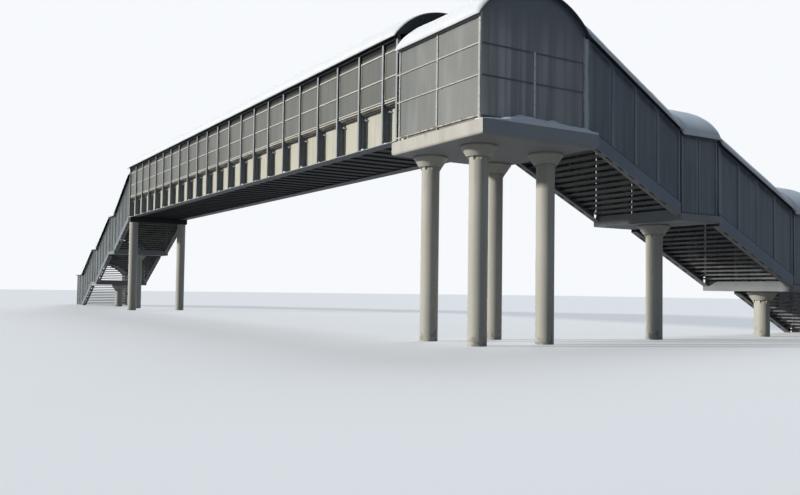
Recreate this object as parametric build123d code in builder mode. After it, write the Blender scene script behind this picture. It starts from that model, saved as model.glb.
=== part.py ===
from build123d import *
import os
from math import cos, hypot, radians, sin

# Covered steel footbridge over a road, modelled at half size: 1 mm here is 2 mm on the bridge.
# +X runs along the span to the corner landing, +Y is the way the near stair goes down from it,
# and the far stair goes straight on down towards -X. The origin is at ground level, in the
# middle of the bridge's plan.

# Gallery span
bay = 750
bay_count = 21
corner_bay = 435
far_margin = 75
gallery_width = 1780
underside_height = 2890

# Plate girders
girder_depth = 575
web_thickness = 8
web_setback = 140
flange_width = 140
flange_thickness = 10
ledge_edge_gap = 4
stiffener_thickness = 8
stiffener_cope = 22
girder_bearing = 290

# Deck between the girders
deck_thickness = 10
deck_rib_depth = 25
deck_rib_width = 60
deck_rib_web = 8
deck_rib_flange = 8

# Gallery posts, rails and panes
post_width = 45
post_depth = 70
post_flange = 5
post_web = 4
rail_depth = 25
rail_setback = 25
sill_gap = 40
sill_height = 18
sill_spacing = 35
middle_rail_rise = 415
top_rail_rise = 790
rail_height = 20
pane_thickness = 8
eave_beam_height = 80
eave_beam_depth = 45
eave_beam_rise = 1015

# Vaulted roofs
roof_rise = 500
roof_overhang = 60
roof_thickness = 10
rib_depth = 40
rib_width = 30
rib_seat_rise = 50
rib_clip = 8
end_panel_thickness = 12

# Corner landing
slab_top = 2840
slab_thickness = 190
slab_edge_radius = 40
ledge_side = 200
ledge_front = 100
ledge_head = 70
corner_length = 2010
slab_setback = 40
bearing_inset = 20
corner_eave_drop = 245
wall_post = 30
corner_post = 40
wall_pane_setback = 11
wall_foot_height = 75
wall_lower_rail_rise = 590
wall_upper_rail_rise = 995
wall_rail_height = 18
corner_beam_height = 55
gable_hoop_depth = 18
stair_head_jamb = 24

# Columns and flared capitals
column_radius = 130
column_inset_side = 550
column_inset_front = 405
column_spacing = 1160
capital_height = 150
capital_top_radius = 250
capital_foot_radius = 165
capital_rim_height = 45
capital_rim_chamfer = 14
groove_depth = 12
groove_height = 10
gusset_count = 8
gusset_height = 60
gusset_thickness = 8
head_beam_depth = 150
head_beam_width = 280

# Stairs
treads_per_flight = [14, 14, 13]
steps_on_rest = [1, 1, 0]
going = 132
tread_overhang = 18
tread_back_gap = 6
tread_plate = 8
tread_lip = 28
tread_slot_length = 420
tread_slot_width = 22
tread_slot_count = 3
tread_slot_spacing = 520
stringer_width = 125
stringer_plate = 8
stringer_depth = 180
stringer_rise = 30
stringer_top_width = 50
flange_slot_length = 120
flange_slot_width = 34
flange_slot_spacing = 217
flange_slot_inset = 44
rest_length = 875
rest_thickness = 105
rest_overhang = 3
rest_edge_radius = 20
eave_over_nosing = 1080
rest_eave_rise = 1150
stair_post = 30
stair_post_inset = 12
stair_pane_thickness = 8
stair_rail = 22
flight_bays = 4
rest_gap = 40
entrance_length = 1123
entrance_post = 36

# Heights and places worked out from the sizes above
ledge_top = underside_height + flange_thickness
deck_top = ledge_top + deck_rib_depth + deck_thickness
flight_count = len(treads_per_flight)
risers_per_flight = [treads + steps + 1 for treads, steps in zip(treads_per_flight, steps_on_rest)]
riser = deck_top / sum(risers_per_flight)
slope = riser / going
flight_runs = [going * treads for treads in treads_per_flight]
stair_run = sum(flight_runs) + (flight_count - 1) * rest_length
stair_reach = stair_run + entrance_length + roof_overhang
span_length = corner_bay + bay_count * bay + far_margin

total_length = ledge_side + corner_length + span_length + stair_reach
total_width = ledge_front + gallery_width + ledge_head + stair_reach
x_corner_wall = total_length / 2 - ledge_side
x_corner_end = x_corner_wall - corner_length
x_first_post = x_corner_end - corner_bay
x_last_post = x_first_post - bay_count * bay
x_far_head = x_last_post - far_margin
x_girder_end = x_corner_end + girder_bearing
y_front = ledge_front - total_width / 2
y_back = y_front + gallery_width
y_middle = (y_front + y_back) / 2
y_stair_head = y_back + ledge_head

girder_top = underside_height + girder_depth
sill_bottom = girder_top + sill_gap
beam_bottom = girder_top + eave_beam_rise - eave_beam_height
beam_top = girder_top + eave_beam_rise
gallery_tip = beam_top - rib_seat_rise
corner_tip = gallery_tip - corner_eave_drop
corner_beam_top = corner_tip + rib_seat_rise
corner_beam_bottom = corner_beam_top - corner_beam_height
roof_half_span = gallery_width / 2 + roof_overhang
roof_radius = (roof_half_span**2 + roof_rise**2) / (2 * roof_rise)
roof_centre_drop = roof_radius - roof_rise
slab_bottom = slab_top - slab_thickness
gallery_posts = [x_first_post - step * bay for step in range(bay_count + 1)]

near_stair = Plane(origin=(x_corner_wall, y_stair_head, 0), x_dir=(0, 1, 0), z_dir=(0, 0, 1))
far_stair = Plane(origin=(x_far_head, y_back, 0), x_dir=(-1, 0, 0), z_dir=(0, 0, 1))
flight_names = ["upper", "middle", "lower"]

os.makedirs("parts", exist_ok=True)


def save(piece, name):
    """Label a finished piece and write its STEP file."""
    piece.part.label = name
    export_step(piece.part, f"parts/{name}.step")


def side_plane(stair, across):
    """Upright plane along a stair: x is the run, y is the height, its normal looks outwards."""
    place = stair.from_local_coords((0, across, 0))
    return Plane(origin=place, x_dir=stair.x_dir, z_dir=-stair.y_dir)


def cross_plane(stair, run, height):
    """Upright plane square to a stair, centred on its width, with its normal down the run."""
    place = stair.from_local_coords((run, gallery_width / 2, height))
    return Plane(origin=place, x_dir=stair.y_dir, z_dir=stair.x_dir)


def middle_plane(stair):
    """Upright plane along the middle of a stair's width."""
    place = stair.from_local_coords((0, gallery_width / 2, 0))
    return Plane(origin=place, x_dir=stair.x_dir, z_dir=stair.y_dir)


def cut_below():
    """Cut away the part of a roof section that lies below the current place."""
    Rectangle(4 * roof_radius, 4 * roof_radius, align=(Align.CENTER, Align.MAX), mode=Mode.SUBTRACT)


def draw_vault(thickness, inner_gap=0, trim=0):
    """Circular strip of a roof: its outer face lies inner_gap inside the roof's outer arc."""
    with Locations((0, -roof_centre_drop)):
        Circle(roof_radius - inner_gap)
        Circle(roof_radius - inner_gap - thickness, mode=Mode.SUBTRACT)
    with Locations((0, trim)):
        cut_below()


def add_ribs(planes, **extent):
    """Arched ribs: full depth down to the eave beams, then a thin clip on to the roof's edges."""
    with BuildSketch(*planes) as arches:
        draw_vault(rib_depth, inner_gap=roof_thickness / 2, trim=rib_seat_rise)
    extrude(arches.sketch, **extent)
    with BuildSketch(*planes) as clips:
        draw_vault(rib_clip, inner_gap=roof_thickness / 2)
    extrude(clips.sketch, **extent)


def draw_band(run_start, run_end, top_start, fall, depth):
    """Strip that follows a slope, with upright ends."""
    top_end = top_start - fall * (run_end - run_start)
    Polygon(
        (run_start, top_start),
        (run_start, top_start - depth),
        (run_end, top_end - depth),
        (run_end, top_end),
        align=None,
    )


def upright_plane(x, y, z):
    """Plane through an upright axis: x runs along +X and y is the height."""
    return Plane(origin=(x, y, z), x_dir=(1, 0, 0), z_dir=(0, -1, 0))


# Front plate girder: a web with two flanges, an outer ledge for the posts and a coped
# stiffener behind each post. The ledge stops at the corner landing's wall.
girder_length = x_girder_end - x_far_head
y_web = y_front + web_setback
flange_centre = y_web + web_thickness / 2
ledge_width = flange_centre - flange_width / 2 - y_front
with BuildPart() as girder_front:
    with BuildSketch(Plane.YZ.offset(x_far_head)):
        with Locations((flange_centre, underside_height)):
            Rectangle(web_thickness, girder_depth, align=(Align.CENTER, Align.MIN))
            Rectangle(flange_width, flange_thickness, align=(Align.CENTER, Align.MIN))
        with Locations((flange_centre, girder_top)):
            Rectangle(flange_width, flange_thickness, align=(Align.CENTER, Align.MAX))
    extrude(amount=girder_length)
    with BuildSketch(Plane.YZ.offset(x_far_head)):
        with Locations((y_front + ledge_edge_gap, underside_height)):
            Rectangle(ledge_width, flange_thickness, align=(Align.MIN, Align.MIN))
    extrude(amount=x_corner_end - x_far_head - ledge_edge_gap)
    stiffener_width = web_setback - post_depth
    stiffener_height = girder_depth - 2 * flange_thickness
    with BuildSketch(*[Plane.YZ.offset(x) for x in gallery_posts]):
        with Locations((y_web, ledge_top)):
            Rectangle(stiffener_width, stiffener_height, align=(Align.MAX, Align.MIN))
            with Locations((0, 0), (0, stiffener_height)):
                Circle(stiffener_cope, mode=Mode.SUBTRACT)
    extrude(amount=stiffener_thickness / 2, both=True)
save(girder_front, "girder_front")

# Back plate girder, the mirror image of the front one
with BuildPart() as girder_back:
    mirror(girder_front.part, about=Plane.XZ.offset(-y_middle))
save(girder_back, "girder_back")

# Deck: a floor plate on tee ribs that rest on the girders' bottom flanges
y_web_inside = y_web + web_thickness
deck_width = gallery_width - 2 * (web_setback + web_thickness)
deck_length = x_girder_end - x_far_head
with BuildPart() as span_deck:
    with BuildSketch(Plane.XY.offset(ledge_top + deck_rib_depth)):
        with Locations((x_far_head, y_web_inside)):
            Rectangle(deck_length, deck_width, align=(Align.MIN, Align.MIN))
    extrude(amount=deck_thickness)
    half_bays = [x + shift for x in gallery_posts for shift in (0, bay / 2)]
    with BuildSketch(Plane.XZ.offset(-y_web_inside)):
        with Locations(*[(x, ledge_top) for x in half_bays]):
            Rectangle(deck_rib_web, deck_rib_depth, align=(Align.CENTER, Align.MIN))
            Rectangle(deck_rib_width, deck_rib_flange, align=(Align.CENTER, Align.MIN))
    extrude(amount=-deck_width)
save(span_deck, "span_deck")


def gallery_rail(bottom, height, depth, setback):
    """Rail along the whole gallery wall."""
    with BuildSketch(Plane.YZ.offset(x_far_head)) as rail:
        with Locations((y_front + setback, bottom)):
            Rectangle(depth, height, align=(Align.MIN, Align.MIN))
    extrude(rail.sketch, amount=x_corner_end - x_far_head)


# Front wall frame of the gallery: rolled posts from the ledge to the eave beam, a double
# sill, a middle rail and a top rail
x_end_post = x_corner_end - post_width / 2
frame_posts = gallery_posts + [x_end_post]
upper_sill_bottom = sill_bottom + sill_spacing
with BuildPart() as gallery_frame_front:
    with BuildSketch(Plane.XY.offset(ledge_top)):
        with Locations(*[(x, y_front) for x in frame_posts]):
            Rectangle(post_width, post_flange, align=(Align.CENTER, Align.MIN))
            Rectangle(post_web, post_depth, align=(Align.CENTER, Align.MIN))
        with Locations(*[(x, y_front + post_depth) for x in frame_posts]):
            Rectangle(post_width, post_flange, align=(Align.CENTER, Align.MAX))
    extrude(amount=beam_bottom - ledge_top)
    gallery_rail(sill_bottom, sill_height, rail_depth, rail_setback)
    gallery_rail(upper_sill_bottom, sill_height, rail_depth, rail_setback)
    gallery_rail(girder_top + middle_rail_rise, rail_height, rail_depth, rail_setback)
    gallery_rail(girder_top + top_rail_rise, rail_height, rail_depth, rail_setback)
    gallery_rail(beam_bottom, eave_beam_height, eave_beam_depth, 0)
save(gallery_frame_front, "gallery_frame_front")

with BuildPart() as gallery_frame_back:
    mirror(gallery_frame_front.part, about=Plane.XZ.offset(-y_middle))
save(gallery_frame_back, "gallery_frame_back")

# Gallery panes: two in each bay, between the rails and the post webs
lower_pane_bottom = upper_sill_bottom + sill_height
lower_pane_top = girder_top + middle_rail_rise
upper_pane_bottom = lower_pane_top + rail_height
upper_pane_top = girder_top + top_rail_rise
pane_centre = y_front + rail_setback + rail_depth / 2
with BuildPart() as gallery_glazing_front:
    with BuildSketch(Plane.XZ.offset(-pane_centre)):
        for left, right in zip(frame_posts[1:-1] + [frame_posts[0]], frame_posts[:-2] + [x_end_post]):
            for low, high in ((lower_pane_bottom, lower_pane_top), (upper_pane_bottom, upper_pane_top)):
                with Locations((left + post_web / 2, low)):
                    Rectangle(right - left - post_web, high - low, align=(Align.MIN, Align.MIN))
    extrude(amount=pane_thickness / 2, both=True)
save(gallery_glazing_front, "gallery_glazing_front")

with BuildPart() as gallery_glazing_back:
    mirror(gallery_glazing_front.part, about=Plane.XZ.offset(-y_middle))
save(gallery_glazing_back, "gallery_glazing_back")

# Gallery roof: a circular vault of sheet on arched ribs that stand on the eave beams
gallery_section = Plane(origin=(x_far_head, y_middle, gallery_tip), x_dir=(0, 1, 0), z_dir=(1, 0, 0))
with BuildPart() as gallery_roof:
    with BuildSketch(gallery_section.offset(-roof_overhang)):
        draw_vault(roof_thickness)
    extrude(amount=x_corner_end - x_far_head + roof_overhang)
    gallery_ribs = [gallery_section.offset(x - x_far_head) for x in gallery_posts]
    add_ribs(gallery_ribs, amount=rib_width / 2, both=True)
save(gallery_roof, "gallery_roof")

# Crescent panels that close the step between the gallery roof and the lower roofs at its ends
with BuildPart() as gallery_end_panels:
    for x, outwards in ((x_corner_end, -1), (x_far_head, 1)):
        high_section = Plane(origin=(x, y_middle, gallery_tip), x_dir=(0, 1, 0), z_dir=(1, 0, 0))
        with BuildSketch(high_section):
            with Locations((0, -roof_centre_drop)):
                Circle(roof_radius - roof_thickness)
            with Locations((0, -roof_centre_drop - corner_eave_drop)):
                Circle(roof_radius - roof_thickness, mode=Mode.SUBTRACT)
            with Locations((0, rib_seat_rise)):
                cut_below()
        extrude(amount=outwards * end_panel_thickness)
save(gallery_end_panels, "gallery_end_panels")

# Corner landing slab with a rounded lower edge and two plinths for the girder ends
x_slab_left = x_corner_end + slab_setback
slab_length = x_corner_wall + ledge_side - x_slab_left
slab_width = ledge_front + gallery_width + ledge_head
plinth_length = x_girder_end - x_slab_left - bearing_inset
plinth_height = underside_height - slab_top
with BuildPart() as corner_slab:
    with BuildSketch(Plane.XY.offset(slab_bottom)):
        with Locations((x_slab_left, y_front - ledge_front)):
            Rectangle(slab_length, slab_width, align=(Align.MIN, Align.MIN))
    extrude(amount=slab_thickness)
    fillet(corner_slab.faces().sort_by(Axis.Z)[0].edges(), radius=slab_edge_radius)
    with BuildSketch(Plane.XY.offset(slab_top)):
        for y in (flange_centre, 2 * y_middle - flange_centre):
            with Locations((x_slab_left + bearing_inset / 2, y)):
                Rectangle(plinth_length, flange_width, align=(Align.MIN, Align.CENTER))
    extrude(amount=plinth_height)
save(corner_slab, "corner_slab")

# Raised floor of the corner landing, level with the span's deck: inside the walls, past the
# girder's end beside the jamb, and on between the stair head's jambs
x_stair_inner = x_corner_wall - gallery_width
with BuildPart() as corner_floor:
    with BuildSketch(Plane.XY.offset(slab_top)):
        with Locations((x_girder_end, y_front + wall_post)):
            floor_length = x_corner_wall - wall_post - x_girder_end
            Rectangle(floor_length, gallery_width - wall_post, align=(Align.MIN, Align.MIN))
        with Locations((x_stair_inner, y_back)):
            Rectangle(x_girder_end - x_stair_inner, wall_post, align=(Align.MIN, Align.MAX))
        with Locations(((x_stair_inner + x_corner_wall) / 2, y_back)):
            head_width = gallery_width - 2 * stair_head_jamb
            Rectangle(head_width, ledge_head, align=(Align.CENTER, Align.MIN))
    extrude(amount=deck_top - slab_top)
save(corner_floor, "corner_floor")

# Flat jambs that close the gap between the landing's frames and the near stair's
with BuildPart() as stair_head_jambs:
    with BuildSketch(Plane.XY.offset(slab_top)):
        with Locations((x_stair_inner, y_back)):
            Rectangle(stair_head_jamb, ledge_head, align=(Align.MIN, Align.MIN))
        with Locations((x_corner_wall, y_back)):
            Rectangle(stair_head_jamb, ledge_head, align=(Align.MAX, Align.MIN))
    extrude(amount=corner_tip - slab_top)
save(stair_head_jambs, "stair_head_jambs")


def column(x, y, height):
    """Round steel column with small gussets under its capital."""
    shaft_height = height - capital_height
    with BuildSketch(Plane.XY) as foot:
        with Locations((x, y)):
            Circle(column_radius)
    extrude(foot.sketch, amount=shaft_height - groove_height)
    with BuildSketch(Plane.XY.offset(shaft_height - groove_height)) as neck:
        with Locations((x, y)):
            Circle(column_radius - groove_depth)
    extrude(neck.sketch, amount=groove_height)
    gusset_foot = shaft_height - gusset_height
    gusset_root = column_radius - 2 * groove_depth
    for step in range(gusset_count):
        turn = radians(180 * (2 * step + 1) / gusset_count)
        outwards = (cos(turn), sin(turn), 0)
        sideways = (sin(turn), -cos(turn), 0)
        with BuildSketch(Plane(origin=(x, y, 0), x_dir=outwards, z_dir=sideways)) as gusset:
            Polygon(
                (gusset_root, gusset_foot),
                (column_radius, gusset_foot),
                (capital_foot_radius, shaft_height),
                (gusset_root, shaft_height),
                align=None,
            )
        extrude(gusset.sketch, amount=gusset_thickness / 2, both=True)


def capital(x, y, top):
    """Flared round capital whose rim has both of its edges taken off."""
    foot = top - capital_height
    rim = capital_height - capital_rim_height
    rim_inner = capital_top_radius - capital_rim_chamfer
    with BuildSketch(upright_plane(x, y, foot)) as half_section:
        with BuildLine():
            Polyline(
                (0, capital_height),
                (0, 0),
                (capital_foot_radius, 0),
                (rim_inner, rim),
                (capital_top_radius, rim + capital_rim_chamfer),
                (capital_top_radius, capital_height - capital_rim_chamfer),
                (rim_inner, capital_height),
                close=True,
            )
        make_face()
    revolve(half_section.sketch, axis=Axis((x, y, 0), (0, 0, 1)))


# Four round columns under the corner landing, and their capitals
x_outer_columns = x_corner_wall - column_inset_side
y_outer_columns = y_front + column_inset_front
corner_column_places = [
    (x_outer_columns - inwards, y_outer_columns + backwards)
    for inwards in (0, column_spacing)
    for backwards in (0, column_spacing)
]
with BuildPart() as corner_columns:
    for x, y in corner_column_places:
        column(x, y, slab_bottom)
save(corner_columns, "corner_columns")

with BuildPart() as corner_capitals:
    for x, y in corner_column_places:
        capital(x, y, slab_bottom)
save(corner_capitals, "corner_capitals")

# Corner landing's front wall frame, set on small feet above the slab
wall_bottom = slab_top + wall_foot_height
x_wall_post = x_corner_end + corner_post + wall_post
x_wall_middle = (x_wall_post + x_corner_wall) / 2
wall_rails = [
    wall_bottom,
    slab_top + wall_lower_rail_rise,
    slab_top + wall_upper_rail_rise,
]
with BuildPart() as corner_front_frame:
    with BuildSketch(Plane.XZ.offset(-y_front)):
        with Locations((x_wall_post, slab_top), (x_wall_middle, slab_top)):
            Rectangle(wall_post, corner_beam_bottom - slab_top, align=(Align.CENTER, Align.MIN))
        with Locations((x_corner_wall, slab_top)):
            Rectangle(corner_post, corner_beam_bottom - slab_top, align=(Align.MAX, Align.MIN))
        with Locations(*[(x_corner_end, height) for height in wall_rails]):
            Rectangle(corner_length, wall_rail_height, align=(Align.MIN, Align.MIN))
        with Locations((x_corner_end, corner_beam_bottom)):
            Rectangle(corner_length, corner_beam_height, align=(Align.MIN, Align.MIN))
    extrude(amount=-wall_post)
save(corner_front_frame, "corner_front_frame")

# Corner landing's gable frame: a short middle post below its upper rail, under an arched hoop
gable_plane = Plane(origin=(x_corner_wall, 0, 0), x_dir=(0, 1, 0), z_dir=(1, 0, 0))
y_gable_start = y_front + wall_post
gable_width = y_back - y_gable_start
gable_head = wall_rails[-1] + wall_rail_height
with BuildPart() as corner_gable_frame:
    with BuildSketch(gable_plane):
        with Locations((y_middle, slab_top)):
            Rectangle(wall_post, gable_head - slab_top, align=(Align.CENTER, Align.MIN))
        with Locations((y_back, slab_top)):
            Rectangle(wall_post, corner_beam_top - slab_top, align=(Align.MAX, Align.MIN))
        with Locations(*[(y_gable_start, height) for height in wall_rails]):
            Rectangle(gable_width, wall_rail_height, align=(Align.MIN, Align.MIN))
    extrude(amount=-wall_post)
    with BuildSketch(gable_plane.offset(-wall_post)):
        with Locations((y_middle, corner_tip - roof_centre_drop)):
            Circle(roof_radius - roof_thickness)
            Circle(roof_radius - roof_thickness - gable_hoop_depth, mode=Mode.SUBTRACT)
        with Locations((y_middle, corner_beam_top)):
            cut_below()
    extrude(amount=wall_post)
save(corner_gable_frame, "corner_gable_frame")

# Corner landing's stair side: a narrow closed strip beside the stair and a beam over its head
jamb_width = x_stair_inner - x_corner_end
with BuildPart() as corner_back_frame:
    with BuildSketch(Plane.XZ.offset(-(y_back - wall_post))):
        with Locations((x_corner_end, slab_top)):
            Rectangle(wall_post, corner_beam_bottom - slab_top, align=(Align.MIN, Align.MIN))
        with Locations((x_stair_inner, slab_top)):
            Rectangle(wall_post, corner_beam_bottom - slab_top, align=(Align.MAX, Align.MIN))
        with Locations(*[(x_corner_end, height) for height in wall_rails]):
            Rectangle(jamb_width, wall_rail_height, align=(Align.MIN, Align.MIN))
        with Locations((x_corner_end, corner_beam_bottom)):
            Rectangle(corner_length - wall_post, corner_beam_height, align=(Align.MIN, Align.MIN))
    extrude(amount=-wall_post)
save(corner_back_frame, "corner_back_frame")


def pane_grid(columns, rows):
    """Flat panes between upright and level bars, given as pairs of clear edges."""
    for left, right in columns:
        for low, high in rows:
            with Locations((left, low)):
                Rectangle(right - left, high - low, align=(Align.MIN, Align.MIN))


# Corner landing's panes: three rows on the front and beside the stair, two rows on the gable and
# one wide arched pane above them
row_edges = wall_rails + [corner_beam_bottom]
wall_rows = [(low + wall_rail_height, high) for low, high in zip(row_edges[:-1], row_edges[1:])]
front_columns = [
    (x_wall_post + wall_post / 2, x_wall_middle - wall_post / 2),
    (x_wall_middle + wall_post / 2, x_corner_wall - corner_post),
]
gable_columns = [
    (y_gable_start, y_middle - wall_post / 2),
    (y_middle + wall_post / 2, y_back - wall_post),
]
jamb_columns = [(x_corner_end + wall_post, x_stair_inner - wall_post)]
with BuildPart() as corner_glazing:
    with BuildSketch(Plane.XZ.offset(-(y_front + wall_pane_setback))):
        pane_grid(front_columns, wall_rows)
    extrude(amount=-pane_thickness)
    with BuildSketch(gable_plane.offset(-wall_pane_setback)):
        pane_grid(gable_columns, wall_rows[:-1])
    extrude(amount=-pane_thickness)
    with BuildSketch(Plane.XZ.offset(-(y_back - wall_pane_setback))):
        pane_grid(jamb_columns, wall_rows)
    extrude(amount=pane_thickness)
    with BuildSketch(gable_plane.offset(-wall_pane_setback)):
        with Locations((y_gable_start, gable_head)):
            Rectangle(gable_width - wall_post, roof_radius, align=(Align.MIN, Align.MIN))
        with Locations((y_middle, corner_tip - roof_centre_drop)):
            Circle(roof_radius - roof_thickness - gable_hoop_depth, mode=Mode.INTERSECT)
    extrude(amount=-pane_thickness)
save(corner_glazing, "corner_glazing")

# Corner landing's roof: a vault along the span, lower than the gallery's
corner_section = Plane(origin=(x_corner_end, y_middle, corner_tip), x_dir=(0, 1, 0), z_dir=(1, 0, 0))
corner_rib_places = [wall_post, corner_length / 2, corner_length - 2 * rib_width]
with BuildPart() as corner_roof:
    with BuildSketch(corner_section):
        draw_vault(roof_thickness)
    extrude(amount=corner_length + roof_overhang)
    corner_ribs = [corner_section.offset(place) for place in corner_rib_places]
    add_ribs(corner_ribs, amount=rib_width / 2, both=True)
save(corner_roof, "corner_roof")

# Arched panel over the head of the near stair, between the two roofs that meet there
with BuildPart() as stair_head_panel:
    with BuildSketch(cross_plane(near_stair, 0, corner_tip)):
        with Locations((0, -roof_centre_drop)):
            Circle(roof_radius - roof_thickness)
        with Locations((0, rib_seat_rise)):
            cut_below()
    extrude(amount=-end_panel_thickness)
save(stair_head_panel, "stair_head_panel")


def flight_start(index):
    """Run and height at the top of a flight."""
    run = sum(flight_runs[:index]) + index * rest_length
    return run, deck_top - riser * sum(risers_per_flight[:index])


def roof_tips(index):
    """Heights of a flight roof's lower edge at the top and at the foot of the flight."""
    level = flight_start(index)[1]
    foot = level - treads_per_flight[index] * riser + eave_over_nosing
    head = corner_tip if index == 0 else level + eave_over_nosing
    return head, foot


def make_treads(stair, index, name):
    """Folded-plate treads of one flight, each with three long slots."""
    start, level = flight_start(index)
    steps = range(1, treads_per_flight[index] + 1)
    noses = [(start + step * going + tread_overhang, level - step * riser) for step in steps]
    tread_depth = going + tread_overhang - tread_back_gap
    tread_length = gallery_width - 2 * stringer_plate
    slot_rows = [nose - tread_depth / 2 for nose, height in noses]
    middle = gallery_width / 2
    slot_offsets = [(k - (tread_slot_count - 1) / 2) * tread_slot_spacing for k in range(tread_slot_count)]
    with BuildPart() as treads:
        with BuildSketch(side_plane(stair, stringer_plate)):
            with Locations(*noses):
                Rectangle(tread_depth, tread_plate, align=(Align.MAX, Align.MAX))
                Rectangle(tread_plate, tread_lip, align=(Align.MAX, Align.MAX))
            with Locations(*[(nose - tread_depth, height) for nose, height in noses]):
                Rectangle(tread_plate, tread_lip, align=(Align.MIN, Align.MAX))
        extrude(amount=-tread_length)
        with BuildSketch(stair.offset(level)):
            with Locations(*[(row, middle + shift) for row in slot_rows for shift in slot_offsets]):
                Rectangle(tread_slot_width, tread_slot_length)
        extrude(amount=-riser * risers_per_flight[index], mode=Mode.SUBTRACT)
    save(treads, name)


def cut_off_at_ground(stair):
    """Cut away what lies below the ground."""
    with BuildSketch(stair) as ground:
        Rectangle(4 * stair_run, 4 * gallery_width)
    extrude(ground.sketch, amount=-stringer_depth, mode=Mode.SUBTRACT)


def make_stringers(stair, name):
    """Stringer webs of all three flights with their narrow upper flanges."""
    with BuildPart() as stringers:
        for index in range(flight_count):
            start, level = flight_start(index)
            end = start + flight_runs[index]
            top = level + stringer_rise
            with BuildSketch(side_plane(stair, 0)):
                draw_band(start, end, top, slope, stringer_depth)
            extrude(amount=-stringer_plate)
            with BuildSketch(side_plane(stair, 0)):
                draw_band(start, end, top, slope, stringer_plate)
            extrude(amount=-stringer_top_width)
        cut_off_at_ground(stair)
        mirror(about=middle_plane(stair))
    save(stringers, name)


def make_stringer_flanges(stair, name):
    """Wide slotted lower flanges of the stringers, welded along the inner faces of the webs."""
    with BuildPart() as flanges:
        for index in range(flight_count):
            start, level = flight_start(index)
            end = start + flight_runs[index]
            flange_top = level + stringer_rise - stringer_depth + stringer_plate
            with BuildSketch(side_plane(stair, stringer_plate)):
                draw_band(start, end, flange_top, slope, stringer_plate)
            extrude(amount=stringer_plate - stringer_width)
            slotted_run = min(end - start, flange_top / slope) - flange_slot_length
            with BuildSketch(side_plane(stair, flange_slot_inset - flange_slot_width / 2)):
                for step in range(1, 1 + int(slotted_run // flange_slot_spacing)):
                    along = step * flange_slot_spacing - flange_slot_length / 2
                    slot_start = start + along
                    slot_top = flange_top + stringer_plate - slope * along
                    slot_end = slot_start + flange_slot_length
                    draw_band(slot_start, slot_end, slot_top, slope, 3 * stringer_plate)
            extrude(amount=-flange_slot_width, mode=Mode.SUBTRACT)
        cut_off_at_ground(stair)
        mirror(about=middle_plane(stair))
    save(flanges, name)


def make_rest_slabs(stair, name):
    """The two resting slabs between the flights, with rounded lower edges and a step on each."""
    step_width = gallery_width - 2 * (stair_post_inset + stair_post)
    with BuildPart() as slabs:
        for index in range(flight_count - 1):
            start, level = flight_start(index + 1)
            with BuildSketch(stair.offset(level - rest_thickness)):
                with Locations((start - rest_length, -rest_overhang)):
                    Rectangle(rest_length, gallery_width + 2 * rest_overhang, align=(Align.MIN, Align.MIN))
            extrude(amount=rest_thickness)
            lower_edges = slabs.faces().sort_by(Axis.Z)[0].edges().filter_by(Axis((0, 0, 0), stair.x_dir))
            fillet(lower_edges, radius=rest_edge_radius)
            for step in range(steps_on_rest[index]):
                step_length = (steps_on_rest[index] - step) * going
                with BuildSketch(stair.offset(level + step * riser)):
                    with Locations((start - rest_length, gallery_width / 2)):
                        Rectangle(step_length, step_width, align=(Align.MIN, Align.CENTER))
                extrude(amount=riser)
    save(slabs, name)


def pier_places(stair):
    """Foot points of a stair's two piers and the heights of their tops."""
    places = []
    for index in range(flight_count - 1):
        start, level = flight_start(index + 1)
        foot = stair.from_local_coords((start - rest_length / 2, gallery_width / 2, 0))
        places.append((foot.X, foot.Y, level - rest_thickness))
    return places


def draw_between(run_start, run_end, low, high, low_shift=0, high_shift=0):
    """Pane or bar with upright ends, between two sloping lines that can each be shifted."""
    Polygon(
        (run_start, low(run_start) + low_shift),
        (run_end, low(run_end) + low_shift),
        (run_end, high(run_end) + high_shift),
        (run_start, high(run_start) + high_shift),
        align=None,
    )


def flight_wall_lines(index):
    """Straight lines of a flight's wall: its stringer top and the top of its eave beam."""
    start, level = flight_start(index)
    head, foot = roof_tips(index)
    roof_fall = (head - foot) / flight_runs[index]

    def low(run):
        return level + stringer_rise - slope * (run - start)

    def high(run):
        return head + rib_seat_rise - roof_fall * (run - start)

    return start, low, high


def flight_post_runs(index):
    """Runs of a flight's wall posts, at the left edge of each."""
    start = flight_start(index)[0]
    step = (flight_runs[index] - stair_post) / flight_bays
    return [start + place * step for place in range(flight_bays + 1)]


def make_flight_frames(stair, name):
    """Side frames of the flights: sill rails on the stringers, posts and sloping eave beams."""
    with BuildPart() as frames:
        for index in range(flight_count):
            start, low, high = flight_wall_lines(index)
            end = start + flight_runs[index]
            with BuildSketch(side_plane(stair, stair_post_inset)):
                draw_between(start, end, low, low, 0, stair_rail)
                draw_between(start, end, high, high, -corner_beam_height, 0)
                for run in flight_post_runs(index):
                    draw_between(run, run + stair_post, low, high, 0, -stair_rail)
            extrude(amount=-stair_post)
        mirror(about=middle_plane(stair))
    save(frames, name)


def rest_wall_levels(index):
    """Floor and eave beam top at a rest landing's wall."""
    start, level = flight_start(index + 1)
    return start - rest_length + rest_gap, start - rest_gap, level, level + rest_eave_rise + rib_seat_rise


def make_rest_frames(stair, name):
    """Side frames of the rest landings, a little apart from the flights' frames."""
    with BuildPart() as frames:
        for index in range(flight_count - 1):
            start, end, floor, top = rest_wall_levels(index)
            middle = (start + end - stair_post) / 2
            with BuildSketch(side_plane(stair, stair_post_inset)):
                with Locations(*[(run, floor) for run in (start, middle, end - stair_post)]):
                    Rectangle(stair_post, top - floor, align=(Align.MIN, Align.MIN))
                with Locations((start, floor)):
                    Rectangle(end - start, stair_rail, align=(Align.MIN, Align.MIN))
                with Locations((start, top)):
                    Rectangle(end - start, corner_beam_height, align=(Align.MIN, Align.MAX))
            extrude(amount=-stair_post)
        mirror(about=middle_plane(stair))
    save(frames, name)


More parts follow.
